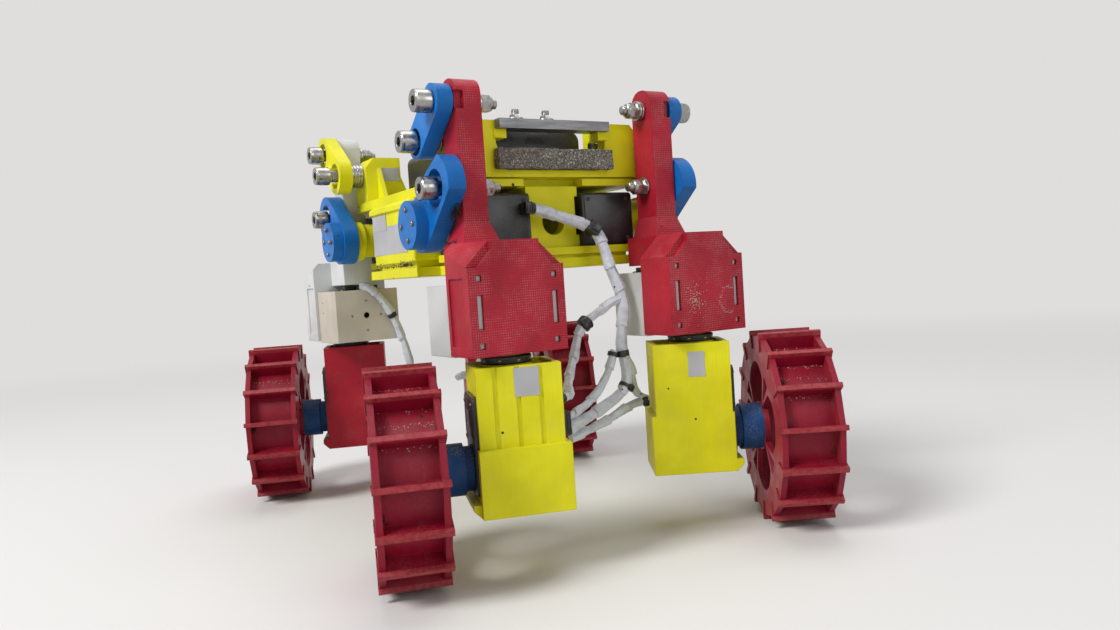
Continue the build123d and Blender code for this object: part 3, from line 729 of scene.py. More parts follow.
SERVO_BLACK = moulded("servo_case_black", (0.010, 0.011, 0.013), 0.34, dust=0.22)
CONNECTOR_BLACK = moulded("connector_black", (0.008, 0.008, 0.009), 0.30, dust=0.15)
BATTERY_WRAP = moulded("battery_wrap", (0.012, 0.012, 0.012), 0.24, grain=0.004, dust=0.08, smudge=1.2)
LABEL_PAPER = moulded("label_paper", (0.40, 0.40, 0.41), 0.5, dust=0.05, specks=0.01, smudge=1.1)
BACKING = moulded("slot_backing", (0.46, 0.46, 0.45), 0.6, smudge=1.1)
GRIT = moulded("black_grit", (0.012, 0.011, 0.010), 0.7, dust=0.0, specks=0.0)
SAND_GRAINS = moulded("sand_grains", (0.50, 0.43, 0.34), 0.8, dust=0.0, specks=0.1, smudge=1.2)
print("moulded materials ready")

# %% [markdown]
# ## Tape and foam
#
# The cables are wrapped in white tape, glossy and a little creased. The foam is reclaimed: a
# mass of pale and dark crumbs, browner on one side, which random cells show well.

# %% Tape and foam
CRUMBS_A_METRE = 1500.0


def taped(name, colour, smudged):
    """White cable tape: glossy, with soft creases and grey smudges."""
    material, tree, place, soil = new_surface(name, 0.18, 0.10)
    smudge = ramp(tree, cloud(tree, place, scale=0.006, detail=4.0), 0.45, 0.75, 0.0, 0.55)
    crease = cloud(tree, place, scale=0.0026, detail=3.0)
    coat(tree, blend_colour(tree, smudge, (*colour, 1), (*smudged, 1)), soil,
         ramp(tree, crease, 0.3, 0.7, 0.20, 0.38), bump(tree, crease, strength=0.7, distance=0.0005))
    return material


def granular(name, dark, light, spark, brown):
    """Reclaimed foam: crumbs of four tones pressed together, without dust."""
    material, tree, shader = new_material(name)
    place = object_coordinates(tree)
    distance, tone = cells(tree, place, CRUMBS_A_METRE)
    base = blend_colour(tree, ramp(tree, tone[0], 0.15, 0.95), (*dark, 1), (*light, 1))
    base = blend_colour(tree, ramp(tree, tone[1], 0.86, 0.97), base, (*spark, 1))
    stained = times(tree, ramp(tree, split(tree, place)["Y"], 0.01, -0.03),
                    ramp(tree, cloud(tree, place, scale=0.010, detail=3.0), 0.35, 0.6), 0.35)
    feed(tree, shader.inputs["Base Color"], blend_colour(tree, stained, base, (*brown, 1)))
    shader.inputs["Roughness"].default_value = 0.95
    feed(tree, shader.inputs["Normal"], bump(tree, distance, strength=0.9, distance=0.0004))
    return material


CABLE_TAPE = taped("cable_tape", (0.60, 0.64, 0.70), (0.34, 0.35, 0.37))
FOAM_GREY = granular("crumb_foam", dark=(0.080, 0.074, 0.064), light=(0.25, 0.235, 0.205),
                     spark=(0.52, 0.49, 0.42), brown=(0.16, 0.12, 0.08))
print("soft materials:", CABLE_TAPE.name, FOAM_GREY.name)

# %% [markdown]
# ## Taped cables
#
# Six bundles of servo wires are wrapped in short strips of white tape, which stand round the
# wires like rolled paper sleeves. Their routes are the CAD's, and a NURBS curve smooths them.
# Each sleeve is real geometry: it widens a little towards its end, where its slanted edge steps
# down to the next one, and its sides are creased flat.

# %% Cable routes
ROUTES = {
    "harness": [
        (91.8, -18.8, 190.5), (91.8, -7.3, 187.1), (92.5, 6.1, 183.1), (93.5, 18.9, 178.8),
        (97.0, 22.3, 171.8), (101.0, 22.7, 161.6), (105.0, 23.6, 151.0), (108.0, 26.5, 141.3),
        (110.0, 27.2, 131.9), (110.5, 25.2, 122.6), (110.5, 23.3, 113.5), (111.0, 22.9, 104.1),
        (112.0, 24.6, 95.6), (112.5, 24.6, 87.2), (113.0, 17.8, 80.5), (113.0, 7.5, 75.6),
        (113.0, -4.6, 70.6), (113.0, -17.5, 66.2),
    ],
    "harness_branch": [
        (111.0, 17.4, 106.5), (111.0, 13.6, 96.2), (112.0, 7.2, 87.4), (112.5, -0.4, 80.4),
        (113.0, -8.9, 75.8), (113.0, -17.5, 72.6),
    ],
    "front_left_lead": [
        (113.0, -16.6, 60.2), (112.0, -5.2, 63.0), (110.2, 7.6, 65.6), (108.2, 18.6, 69.0),
        (107.7, 27.6, 72.4), (110.0, 33.6, 74.2), (113.2, 38.6, 74.9),
    ],
    "front_right_lead": [
        (109.3, 25.6, 136.2), (107.2, 20.4, 134.4), (105.0, 13.2, 129.3), (103.0, 2.9, 122.9),
        (102.5, -1.9, 115.6), (104.0, -4.9, 106.7), (107.5, -10.5, 98.0), (113.5, -16.5, 92.0),
        (121.5, -21.5, 89.0), (129.0, -25.6, 87.6), (133.7, -30.6, 87.1), (134.5, -36.0, 87.0),
    ],
    "rear_right_lead": [
        (-89.6, -61.8, 152.0), (-83.6, -60.4, 152.4), (-82.0, -54.6, 147.4), (-81.8, -47.4, 138.6),
        (-81.8, -42.2, 128.2), (-82.0, -38.2, 117.8), (-82.4, -34.9, 106.6), (-84.0, -32.0, 96.0),
        (-89.4, -29.6, 87.0), (-97.4, -28.8, 80.4), (-105.6, -29.8, 76.4), (-112.6, -32.4, 74.6),
        (-117.5, -36.6, 74.0),
    ],
    "rear_left_lead": [
        (-89.6, 61.8, 152.0), (-83.6, 60.4, 152.4), (-82.0, 54.6, 147.4), (-81.8, 47.4, 138.6),
        (-81.8, 42.2, 128.2), (-82.0, 38.2, 117.8), (-82.4, 34.9, 106.6), (-84.0, 31.0, 96.0),
        (-89.8, 27.2, 87.0), (-98.8, 23.8, 80.0), (-109.8, 21.8, 76.0), (-120.4, 22.6, 74.4),
        (-128.9, 27.0, 74.0), (-133.5, 34.4, 74.0),
    ],
    "front_left_strand": [
        (111.5, 25.5, 101.5), (112.6, 28.3, 94.5), (112.4, 28.6, 87.0), (110.6, 30.6, 81.4),
        (110.6, 34.6, 77.8), (112.8, 37.9, 75.8),
    ],
}
LEAD_THICK = 5.0
THICK = {"harness": 5.6, "harness_branch": 4.6, "front_left_strand": 4.2}


def route_line(name, points):
    """Points along the NURBS curve through a route, in millimetres."""
    curve = bpy.data.curves.new(name + "_route", "CURVE")
    curve.dimensions = "3D"
    spline = curve.splines.new("NURBS")
    spline.points.add(len(points) - 1)
    for target, point in zip(spline.points, points):
        target.co = (*(Vector(point) * MM), 1.0)
    spline.order_u = 3
    spline.use_endpoint_u = True
    spline.resolution_u = 12
    holder = bpy.data.objects.new(name + "_route", curve)
    bpy.context.scene.collection.objects.link(holder)
    bpy.context.view_layer.update()
    mesh = bpy.data.meshes.new_from_object(holder)
    line = [v.co / MM for v in mesh.vertices]
    bpy.data.objects.remove(holder)
    bpy.data.meshes.remove(mesh)
    return line


def length_of(line):
    return sum((b - a).length for a, b in zip(line, line[1:]))


LINES = {name: route_line(name, points) for name, points in ROUTES.items()}
print("cable lengths in mm:", {name: round(length_of(line), 1) for name, line in LINES.items()})

# %% [markdown]
# A curve's own points crowd in its bends. Tape and ties need even steps along the cable, and
# the cable's direction at each step, so the line is walked once more.

# %% Even steps along a cable
CABLE_STEP = 0.5


def even_line(line, step=CABLE_STEP):
    """The same line with points at even distances, and the direction at each."""
    total = length_of(line)
    count = max(2, round(total / step))
    spots, walked, index = [], 0.0, 0
    for i in range(count + 1):
        target = total * i / count
        while index < len(line) - 2 and walked + (line[index + 1] - line[index]).length < target:
            walked += (line[index + 1] - line[index]).length
            index += 1
        run = line[index + 1] - line[index]
        spots.append(line[index] + run * min(1.0, (target - walked) / max(run.length, 1e-9)))
    ways = [(spots[min(i + 1, count)] - spots[max(i - 1, 0)]).normalized() for i in range(count + 1)]
    return spots, ways


EVEN = {name: even_line(line) for name, line in LINES.items()}
print("steps along each cable:", {name: len(spots) for name, (spots, ways) in EVEN.items()})

# %% [markdown]
# The strips of tape overlap by chance, so each cable draws its own from a seeded generator: where
# a strip starts, how many flat sides it has been pressed into, and how its cut edge leans.

# %% Sleeves of tape
SLEEVE_SHORT, SLEEVE_LONG = 13.0, 23.0   # mm of cable under one strip of tape
SLEEVE_FLARE = 0.85                      # how far a sleeve's end stands off
SLEEVE_SLANT = 2.2                       # how far its cut edge leans


def sleeve_starts(total, seed):
    """Where each strip of tape begins, with its own facets and lean."""
    draw = random.Random(seed)
    starts, at = [], -draw.uniform(2.0, 9.0)
    while at < total + SLEEVE_LONG:
        starts.append((at, draw.uniform(0, 6.28), draw.choice((5, 6, 7)), draw.uniform(-1, 1)))
        at += draw.uniform(SLEEVE_SHORT, SLEEVE_LONG)
    return starts


def sleeve_reach(starts, along, angle):
    """Radius factor and step of the sleeve that covers a place on the cable."""
    for current, following in zip(starts, starts[1:]):
        edge = following[0] + SLEEVE_SLANT * following[3] * math.cos(angle - following[1])
        if along < edge:
            break
    start, turn, sides, _ = current
    wedge = 2 * math.pi / sides
    flat = math.cos(wedge / 2) / math.cos(((angle - turn) % wedge) - wedge / 2)
    ripe = min(1.0, max(0.0, (along - start) / (following[0] - start)))
    return 1.0 + 0.8 * (flat - 0.95), SLEEVE_FLARE * (ripe - 0.55)


print("tape strips are", SLEEVE_SHORT, "to", SLEEVE_LONG, "mm long")

# %% [markdown]
# The tube itself is rings of points, one ring each half millimetre. Its direction is carried
# from ring to ring, so that it doesn't twist, and two sizes of noise crumple the tape.

# %% Wrapped tube
TUBE_AROUND = 36
SNUG = 1.08
LUMPS_A_MM, LUMP_HIGH = 0.16, 0.26
CREASES_A_MM, CREASE_HIGH = 0.5, 0.16
BULK = {"harness": 1.22, "harness_branch": 1.05, "rear_right_lead": 1.18}   # loose wrapping


def wrapped_tube(cable, thick):
    """Closed tube along a cable, in overlapping creased sleeves of tape."""
    name = f"{cable}_tape"
    spots, ways = EVEN[cable]
    starts = sleeve_starts(CABLE_STEP * len(spots), name)
    radius = thick / 2 * BULK.get(cable, SNUG)
    across = side_axes(ways[0])[0]
    points = []
    for ring, (spot, way) in enumerate(zip(spots, ways)):
        across = (across - way * across.dot(way)).normalized()
        other = way.cross(across)
        for i in range(TUBE_AROUND):
            angle = 2 * math.pi * i / TUBE_AROUND
            factor, rise = sleeve_reach(starts, ring * CABLE_STEP, angle)
            x, y = math.cos(angle), math.sin(angle)
            lump = noise.noise(spot * LUMPS_A_MM + Vector((x, y, 0)) * 0.9)
            crease = noise.noise(spot * CREASES_A_MM + Vector((x, y, 3)) * 1.8)
            reach = radius * factor + rise + LUMP_HIGH * lump + CREASE_HIGH * crease
            points.append(spot + (across * x + other * y) * reach)
    last = (len(spots) - 1) * TUBE_AROUND
    faces = ring_faces(len(spots), TUBE_AROUND, inward=True)
    faces.append(tuple(reversed(range(TUBE_AROUND))))
    faces.append(tuple(last + i for i in range(TUBE_AROUND)))
    tube = gather(name, [(points, faces)], sharp_degrees=24)
    paint(tube, CABLE_TAPE)
    return tube


print("tubes have", TUBE_AROUND, "points round")

# %% [markdown]
# Each lead crosses a steering joint, between the leg and the knuckle, but here its mesh is only baked in
# place and doesn't bend. The long harness and its branch stay with the chassis. A short strand leaves the
# harness at its fork and joins the front left lead's cap. It is too fine for the CAD, so it replaces no
# node.

# %% Cables in place
LEAD_BEND_FROM, STRAND_BEND_FROM = 0.35, 1 / 3   # share of the cable before its bend point
BENDS = {}


def bend_with_steering(piece, corner, start, end):
    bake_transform(piece)


for cable in ROUTES:
    thick = THICK.get(cable, LEAD_THICK)
    spots = EVEN[cable][0]
    tube = wrapped_tube(cable, thick)
    if cable in NODES:
        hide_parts(cable)
    corner = next((c for c in CORNERS if cable.startswith(c)), None)
    if corner:
        share = LEAD_BEND_FROM if cable.endswith("lead") else STRAND_BEND_FROM
        BENDS[cable] = (spots[int(len(spots) * share)] * MM, spots[-1] * MM)
        bend_with_steering(tube, corner, *BENDS[cable])
    else:
        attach(tube, "chassis")
    print(cable, len(tube.data.polygons), "faces")

# %% [markdown]
# ## Finishes for the CAD nodes
#
# Every CAD node keeps its mesh and gets the material of what it is made of. The names say
# which corner a node belongs to, so one short table serves all four corners. A node that
# differs from its twins, such as the white leg, is named in full.

# %% Dress the CAD nodes
NODE_FINISH = {
    "base_plate": CHASSIS_YELLOW, "columns": CHASSIS_YELLOW, "electronics_box": CHASSIS_YELLOW,
    "deck": CHASSIS_YELLOW, "battery_pack": BATTERY_WRAP, "top_bar": ALUMINIUM,
    "lift_servos": SERVO_BLACK, "upper_pivot_bolts": ZINC, "harness_fittings": CONNECTOR_BLACK,
    "front_left_steer_cover": COVER_PALE, "front_right_steer_cover": COVER_PALE,
    "rear_right_leg": LEG_WHITE, "rear_right_upper_link": UPPER_YELLOW,
}
CORNER_FINISH = {
    "lower_link": LINK_BLUE, "upper_link": LINK_BLUE, "horn_flange": UPPER_YELLOW, "leg": LEG_RED,
    "leg_bolts": ZINC, "steer_cover": COVER_BEIGE, "steer_servo": SERVO_BLACK,
    "wheel_servo": SERVO_BLACK, "wheel_hub": HUB_PAINTED_SHADE_BLUE,
}
for corner in CORNERS:
    pieces = {**CORNER_FINISH, "knuckle": KNUCKLE_SKIN[corner], "wheel": WHEEL_SKIN[corner]}
    for piece, material in pieces.items():
        NODE_FINISH.setdefault(f"{corner}_{piece}", material)

for name, node in NODES.items():
    material = NODE_FINISH.get(name, CABLE_TAPE)
    if not node.material_slots:
        node.data.materials.append(material)
    for slot in node.material_slots:
        slot.material = material
print("dressed", len(NODES), "nodes")

# %% [markdown]
# ## Bolts
#
# The pivot bolts are the brightest things on the rover: big knurled cap heads with a turned
# rim and a hex socket, threaded tips and lock nuts with a rounded collar. A sleeve of fine
# ridges fits round each CAD head, and a helical ripple makes the thread.

# %% Bolt heads, threads and nut collars
HEAD_R = 5.9
HEAD_LONG = 9.4
THREAD_R = 2.5


def knurled_head(centre, axis):
    """Sleeve over a cap head: ridged side, smooth rim, and a dished face round the socket."""
    def ridge(along, angle, i):
        return (0.09 if i % 2 else -0.05) if 0.9 < along < HEAD_LONG - 2.0 else 0.0

    side = [(0.0, 0.0), (0.5, 0.16), (0.95, 0.12), (HEAD_LONG - 2.1, 0.12), (HEAD_LONG - 1.8, 0.02),
            (HEAD_LONG - 1.2, 0.12), (HEAD_LONG - 0.5, 0.10), (HEAD_LONG + 0.12, -0.55),
            (HEAD_LONG + 0.14, -0.9), (HEAD_LONG + 0.02, -1.3), (HEAD_LONG + 0.04, -2.55),
            (HEAD_LONG - 0.3, -2.88)]
    profile = [(along, HEAD_R + proud) for along, proud in side]
    return turned(centre, axis, profile, around=84, ripple=ridge)


def thread(centre, axis, long, radius=THREAD_R, pitch=0.9):
    """Threaded rod: a helical ripple, with a chamfered end."""
    def wave(along, angle, i):
        return 0.24 * abs(((along / pitch - angle / (2 * math.pi)) % 1.0) * 2 - 1) - 0.05

    steps = max(4, round(long / 0.15))
    profile = [(long * i / steps, radius) for i in range(steps + 1)]
    profile += [(long + 0.45, radius - 0.5), (long + 0.5, 0.0)]
    return turned(centre, axis, profile, around=28, ripple=wave)


def lock_collar(centre, axis):
    """Rounded collar on the free side of a lock nut."""
    profile = [(0, 4.3), (0.4, 4.25), (1.1, 4.0), (1.6, 3.5), (1.8, 2.9), (1.2, 2.5)]
    return turned(centre, axis, profile)


def nut_shell(centre, axis, long, across=4.9):
    """Six-sided nut with its corners turned off at both ends."""
    flat = across * math.cos(math.pi / 6)

    def six_sided(along, angle, i):
        six = across * (math.cos(math.pi / 6) / math.cos((angle % (math.pi / 3)) - math.pi / 6) - 1.0)
        return six if 0.3 < along < long - 0.3 else min(0.0, six) * 0.8 - 0.1

    profile = [(-0.02, flat - 0.6), (0, across - 0.25), (0.35, across + 0.06),
               (long - 0.35, across + 0.06), (long, across - 0.25), (long + 0.02, flat - 0.6)]
    return turned(centre, axis, profile, around=48, ripple=six_sided)


def washer_ring(centre, axis, radius, thick):
    profile = [(0, radius - 1.5), (0, radius), (0.15, radius + 0.12), (thick - 0.15, radius + 0.12),
               (thick, radius), (thick, radius - 1.5)]
    return turned(centre, axis, profile, around=48)


print("bolt shapes ready")

# %% [markdown]
# Each leg hangs on two of these bolts, at the outer ends of its links. A third one holds the
# upper link to its tower, over a stack of four wide washers. The rear right one isn't screwed
# home, as on the real rover.

# %% Bolts at the four corners
LEG_UPPER_Z = UPPER_Z + LINK_RISE
HEAD_IN = 80.8                                 # a head meets its link here, off the rover's middle
LEG_NUTS = ((48.5, 43.5, LEG_Z), (46.5, 42.5, LEG_UPPER_Z))   # nut, bolt's tip and height
NUT_LONG = 6.0
LEG_WASHERS = ((54.4, 1.6, LEG_Z), (52.4, 1.6, LEG_UPPER_Z), (54.1, 1.8, LEG_UPPER_Z))
LEG_WASHER_R = 5.7
TOWER_WASHERS, TOWER_WASHER_IN, TOWER_WASHER_STEP, TOWER_WASHER_R = 4, 62.1, 2.25, 8.1
SHANK_IN, SHANK_R, SHANK_PITCH = 75.5, 4.08, 1.25
PULLED = {"rear_right": 4.0}


def leg_bolts(corner, out):
    shapes = [knurled_head(at_corner(corner, LEG_X, HEAD_IN, z), out) for z in (LEG_Z, LEG_UPPER_Z)]
    for nut_in, tip, z in LEG_NUTS:
        nut = at_corner(corner, LEG_X, nut_in, z)
        shapes.append(nut_shell(nut, out, NUT_LONG))
        shapes.append(lock_collar(nut, -out))
        shapes.append(thread(nut - out, -out, nut_in - 1.0 - tip, THREAD_R + 0.1))
    for washer_in, thick, z in LEG_WASHERS:
        shapes.append(washer_ring(at_corner(corner, LEG_X, washer_in, z), out, LEG_WASHER_R, thick))
    return shapes


def tower_bolt(corner, out):
    head_in = HEAD_IN + PULLED.get(corner, 0.0)
    shapes = [knurled_head(at_corner(corner, LIFT_X, head_in, UPPER_Z), out),
              thread(at_corner(corner, LIFT_X, SHANK_IN, UPPER_Z), out, head_in - SHANK_IN - 0.7,
                     SHANK_R, SHANK_PITCH)]
    for i in range(TOWER_WASHERS):
        washer = at_corner(corner, LIFT_X, TOWER_WASHER_IN + i * TOWER_WASHER_STEP, UPPER_Z)
        shapes.append(washer_ring(washer, out, TOWER_WASHER_R, 2.0))
    return shapes


for corner in CORNERS:
    out = corner_direction(corner, 0, 1, 0)
    fit(f"{corner}_leg_bolt_detail", leg_bolts(corner, out), f"{corner}_leg_body", ZINC)
    fit(f"{corner}_upper_bolt_detail", tower_bolt(corner, out), "chassis", ZINC)
print("knurled heads, threads and collars at", len(CORNERS), "corners")

# %% [markdown]
# ## Front lower links
#
# The underside of each front crank runs straight from its disc to its collar. The CAD's collar
# is a full circle there, so a copy of its mesh is cut along that line, and a wedge closes the
# hollow between collar and hub. The cut face is filled again, so the link stays solid.

# %% The line under a link
HUB_SWEEP, COLLAR_SWEEP, COLLAR_ROUND = 15.4, 13.4, 18.0   # to the line, and the collar's own radius
HUB_CENTRE = Vector((LIFT_X, 0.0, LIFT_Z))
COLLAR_CENTRE = HUB_CENTRE + Vector((LINK_RUN, 0.0, LINK_RISE))
ARM = COLLAR_CENTRE - HUB_CENTRE
ARM_WAY = ARM.normalized()
ARM_DOWN = Vector((ARM_WAY.z, 0.0, -ARM_WAY.x))
TAPER = (HUB_SWEEP - COLLAR_SWEEP) / ARM.length
UNDERSIDE = ARM_WAY * TAPER + ARM_DOWN * math.sqrt(1 - TAPER * TAPER)
ALONG = Vector((-UNDERSIDE.z, 0.0, UNDERSIDE.x))
print("underside leans", round(math.degrees(math.asin(TAPER)), 1), "degrees from the link's own line")

# %% [markdown]
# The cut is a plane through the mesh, and the wedge is a block of eight corners. Its lower face
# lies a hair inside the cut, so that the two faces don't fight for the same place.

# %% Front lower links with a straight underside
WEDGE_IN, WEDGE_OUT = 71.52, 81.48
HAIR = 0.02


def cut_link(node):
    """Points in mm and faces of a link's mesh, cut along its underside and filled."""
    shape = bmesh.new()
    shape.from_mesh(node.data)
    shape.transform(node.matrix_world)
    bmesh.ops.remove_doubles(shape, verts=shape.verts[:], dist=1e-6)
    bmesh.ops.bisect_plane(shape, geom=shape.verts[:] + shape.edges[:] + shape.faces[:], dist=1e-7,
                           plane_co=(HUB_CENTRE + UNDERSIDE * HUB_SWEEP) * MM, plane_no=UNDERSIDE,
                           clear_outer=True)
    bmesh.ops.holes_fill(shape, edges=[edge for edge in shape.edges if edge.is_boundary], sides=0)
    return taken_from(shape, MM)


def underside_wedge(side):
    chord = math.sqrt(COLLAR_ROUND ** 2 - COLLAR_SWEEP ** 2)
    outline = [HUB_CENTRE + UNDERSIDE * (HUB_SWEEP - HAIR) - ALONG,
               COLLAR_CENTRE + UNDERSIDE * (COLLAR_SWEEP - HAIR) - ALONG * (chord - 1.0),
               COLLAR_CENTRE + ARM_DOWN * 8 - ARM_WAY * 6, HUB_CENTRE + ARM_DOWN * 8]
    points = [spot + Vector((0, side * y, 0)) for y in (WEDGE_IN, WEDGE_OUT) for spot in outline]
    return points, [(0, 1, 2, 3), (4, 5, 6, 7), (0, 1, 5, 4), (1, 2, 6, 5), (2, 3, 7, 6), (3, 0, 4, 7)]


for corner in ("front_left", "front_right"):
    node_name = f"{corner}_lower_link"
    shapes = [cut_link(NODES[node_name]), underside_wedge(CORNERS[corner][1])]
    crank = fit(f"{corner}_crank", shapes, f"{corner}_lower_arm", LINK_BLUE)
    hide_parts(node_name)
    print(crank.name, len(crank.data.polygons), "faces")

# %% [markdown]
# ## Small screws
#
# Each blue disc is held to the servo horn by four small dark steel screws, two of them not
# driven home on the rear right corner. A small cross pressed into each head keeps the screws
# from looking like plain dots.

# %% Screws of the blue discs
DISC_OUT, DISC_CIRCLE = 88.8, 8.4
DISC_TURN = 3.0                       # degrees by which the ring of screws is turned
DISC_SCREW_R = 1.45
SCREW_PROUD, LOOSE_PROUD = 1.3, 2.4
LOOSE_SCREWS = {"rear_right": (1, 2)}


def pan_screw(centre, axis, radius, proud, around=20):
    """Small domed screw head with a cross recess pressed into it."""
    def cross(along, angle, i):
        return radius * 0.14 * math.cos(4 * angle) if along > proud - 0.03 else 0.0

    profile = [(-0.3, radius * 0.96), (proud - 0.55, radius), (proud - 0.2, radius * 0.86),
               (proud, radius * 0.55), (proud - 0.02, radius * 0.42), (proud - 0.4, radius * 0.2),
               (proud - 0.42, 0.0)]
    return turned(centre, axis, profile, around, ripple=cross)


for corner in CORNERS:
    shapes = []
    for i in range(4):
        angle = math.radians(DISC_TURN + 90 * i)
        proud = LOOSE_PROUD if i in LOOSE_SCREWS.get(corner, ()) else SCREW_PROUD
        spot = at_corner(corner, LIFT_X + DISC_CIRCLE * math.cos(angle), DISC_OUT,
                         LIFT_Z + DISC_CIRCLE * math.sin(angle))
        shapes.append(pan_screw(spot, corner_direction(corner, 0, 1, 0), DISC_SCREW_R, proud))
    fit(f"{corner}_disc_screws", shapes, f"{corner}_lower_arm", SCREW_STEEL)
print("disc screws fitted at", len(CORNERS), "corners")

# %% [markdown]
# ## Black fittings on the cables
#
# The harness leaves a plug beside the column, passes a clamp, and forks at a tie. They are
# bevelled blocks, ribs and bands, each with the small steps that moulded connectors have.

# %% Plugs and ties
def nearest_on(cable, target):
    """The closest place on a cable, with its direction there."""
    spots, ways = EVEN[cable]
    best = min(range(len(spots)), key=lambda i: (spots[i] - Vector(target)).length)
    return spots[best], ways[best]


def moulded_plug(low, high, ribs, bevel=0.5):
    """Plug body with raised ribs across its top and its front."""
    shapes = [bevelled_box(low, high, bevel)]
    wide = (high[1] - low[1]) / (2 * ribs + 1)
    for i in range(ribs):
        left = low[1] + wide * (2 * i + 1)
        right = left + wide
        for rib in (((low[0] + 0.8, left, high[2] - 0.4), (high[0] - 0.8, right, high[2] + 0.5)),
                    ((high[0] - 0.3, left, low[2] + 0.9), (high[0] + 0.4, right, high[2] - 0.9))):
            shapes.append(bevelled_box(*rib, 0.2, 1))
    return shapes


def tie_round(cable, target, radius, width, lock_way):
    """Cable tie: a ridged band, and its square lock standing off one side if it has one."""
    def ridges(along, angle, i):
        return 0.10 if i % 2 else 0.0

    spot, way = nearest_on(cable, target)
    profile = [(-width / 2, radius - 0.5), (-width / 2, radius + 0.5),
               (width / 2, radius + 0.5), (width / 2, radius - 0.5)]
    band = turned(spot, way, profile, around=44, ripple=ridges)
    if lock_way is None:
        return [band]
    lock_way = (Vector(lock_way) - way * Vector(lock_way).dot(way)).normalized()
    lock = placed(bevelled_box((-1.9, -1.7, -0.6), (1.9, 1.7, 2.4), 0.4), spot + lock_way * radius,
                  way, lock_way.cross(way))
    return [band, lock]


print("plugs and ties can be made")

# %% [markdown]
# The fittings replace the plain blocks of the CAD node, at the same places along the cables.
# The tie on the branch is drawn as its band alone.

# %% Harness fittings
SERVO_PLUG = ((86.6, -25.0, 187.4), (94.4, -19.4, 193.8))      # beside the column
PLUG_COLLAR_AT = (91.8, -19.2, 190.5)
PLUG_COLLAR = [(-0.9, 3.4), (0.3, 3.4), (0.5, 3.2), (0.5, 2.4)]
KNUCKLE_PLUG = ((109.3, -24.8, 63.2), (116.6, -17.7, 76.2))    # beside the front right knuckle
CLAMP_AT = (94.2, 18.9, 178.4)
CLAMP_BLOCKS = (((-3.6, -4.6, -4.2), (3.6, 5.2, 3.9), 0.9), ((-2.3, 4.6, -2.6), (2.3, 6.6, 2.2), 0.5))
TIES = (   # cable, place, radius and width of the band, and the way to its lock
    ("harness", (111.0, 22.9, 104.1), 3.3, 3.4, (1, -0.6, 0)),
    ("harness_branch", (111.0, 16.5, 104.0), 2.6, 2.4, None),
    ("harness", (112.7, 22.8, 84.5), 3.2, 2.2, (1, 0.4, -0.3)),
)


def make_harness_fittings():
    shapes = moulded_plug(*SERVO_PLUG, ribs=3)
    shapes.append(turned(PLUG_COLLAR_AT, Y_AXIS, PLUG_COLLAR, around=28))
    spot, way = nearest_on("harness", CLAMP_AT)
    shapes += [placed(bevelled_box(*block), spot, way, X_AXIS) for block in CLAMP_BLOCKS]
    for tie in TIES:
        shapes += tie_round(*tie)
    shapes += moulded_plug(*KNUCKLE_PLUG, ribs=2)
    piece = fit("harness_fittings_detail", shapes, "chassis", CONNECTOR_BLACK)
    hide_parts("harness_fittings")
    return piece


print("harness fittings:", len(make_harness_fittings().data.polygons), "faces")

# %% [markdown]
# The tape of each lead ends in a melted-looking black cap. A cap is a bulge turned about the cable and
# roughened by noise.

# %% Caps and knots on the leads
LEAD_CAPS = {   # place, length and radius of each cap
    "front_left": [((112.4, 37.0, 74.7), 5.0, 3.3)],
    "front_right": [((103.2, 3.5, 123.5), 7.5, 4.6), ((134.2, -33.5, 87.0), 3.6, 3.2)],
    "rear_left": [((-133.0, 33.0, 74.0), 3.6, 3.2)],
    "rear_right": [((-81.6, -43.0, 131.0), 5.0, 3.6), ((-116.5, -35.6, 74.1), 3.6, 3.2)],
}
CAP_STEPS = 16


def scorched_cap(cable, target, long, radius, seed):
    """Lumpy black cap where a cable's tape ends in melted sleeving."""
    def rough(along, angle, i):
        place = Vector((math.cos(angle) * 1.5 + seed, along * 0.7, math.sin(angle) * 1.5))
        return 0.5 * noise.noise(place)

    spot, way = nearest_on(cable, target)
    shares = [i / CAP_STEPS for i in range(CAP_STEPS + 1)]
    bulge = [(long * (share - 0.5), radius * math.sqrt(max(0.0, 1.0 - abs(share * 2 - 1) ** 4)))
             for share in shares]
    return turned(spot, way, bulge, around=26, ripple=rough)


for corner, caps in LEAD_CAPS.items():
    cable = f"{corner}_lead"
    shapes = [scorched_cap(cable, *cap, i + 3.0) for i, cap in enumerate(caps)]
    piece = gather(f"{corner}_lead_caps", shapes, sharp_degrees=60)
    paint(piece, CONNECTOR_BLACK)
    bend_with_steering(piece, corner, *BENDS[cable])
print("caps on", len(LEAD_CAPS), "leads")

# %% [markdown]
# ## Crumb foam across the front
#
# A strip of reclaimed foam is glued across the front of the deck. It is a rounded grid of fine
# squares, pushed in and out by two sizes of noise, so even its outline is crumbly.

# %% Crumb foam
FOAM_BLOCKS = (((86.2, -39, 213.0), (92.0, 39, 225.0), 0.75),     # low and high corner, square
               ((74.6, -29.5, 213.0), (87.2, 29.5, 224.6), 0.95))
FOAM_ROUND = 0.8


def crumbly(place):
    small = noise.noise(place * 1.1) * 0.34 + noise.noise(place * 2.3) * 0.22
    return small + noise.noise(place * 0.11) * 0.45 - 0.25


def make_foam():
    blocks = [rounded_grid(low, high, step, FOAM_ROUND, crumbly) for low, high, step in FOAM_BLOCKS]
    piece = fit("foam_strip", blocks, "chassis", FOAM_GREY, sharp_degrees=75)
    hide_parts("foam_pad")
    return piece


print("foam strip:", len(make_foam().data.polygons), "faces")

# %% [markdown]
# ## Blank labels
#
# Paper stickers mark the parts. They are left blank here. Each is a thin card whose corners
# have lifted a little, so that it catches the light and throws a fine shadow.

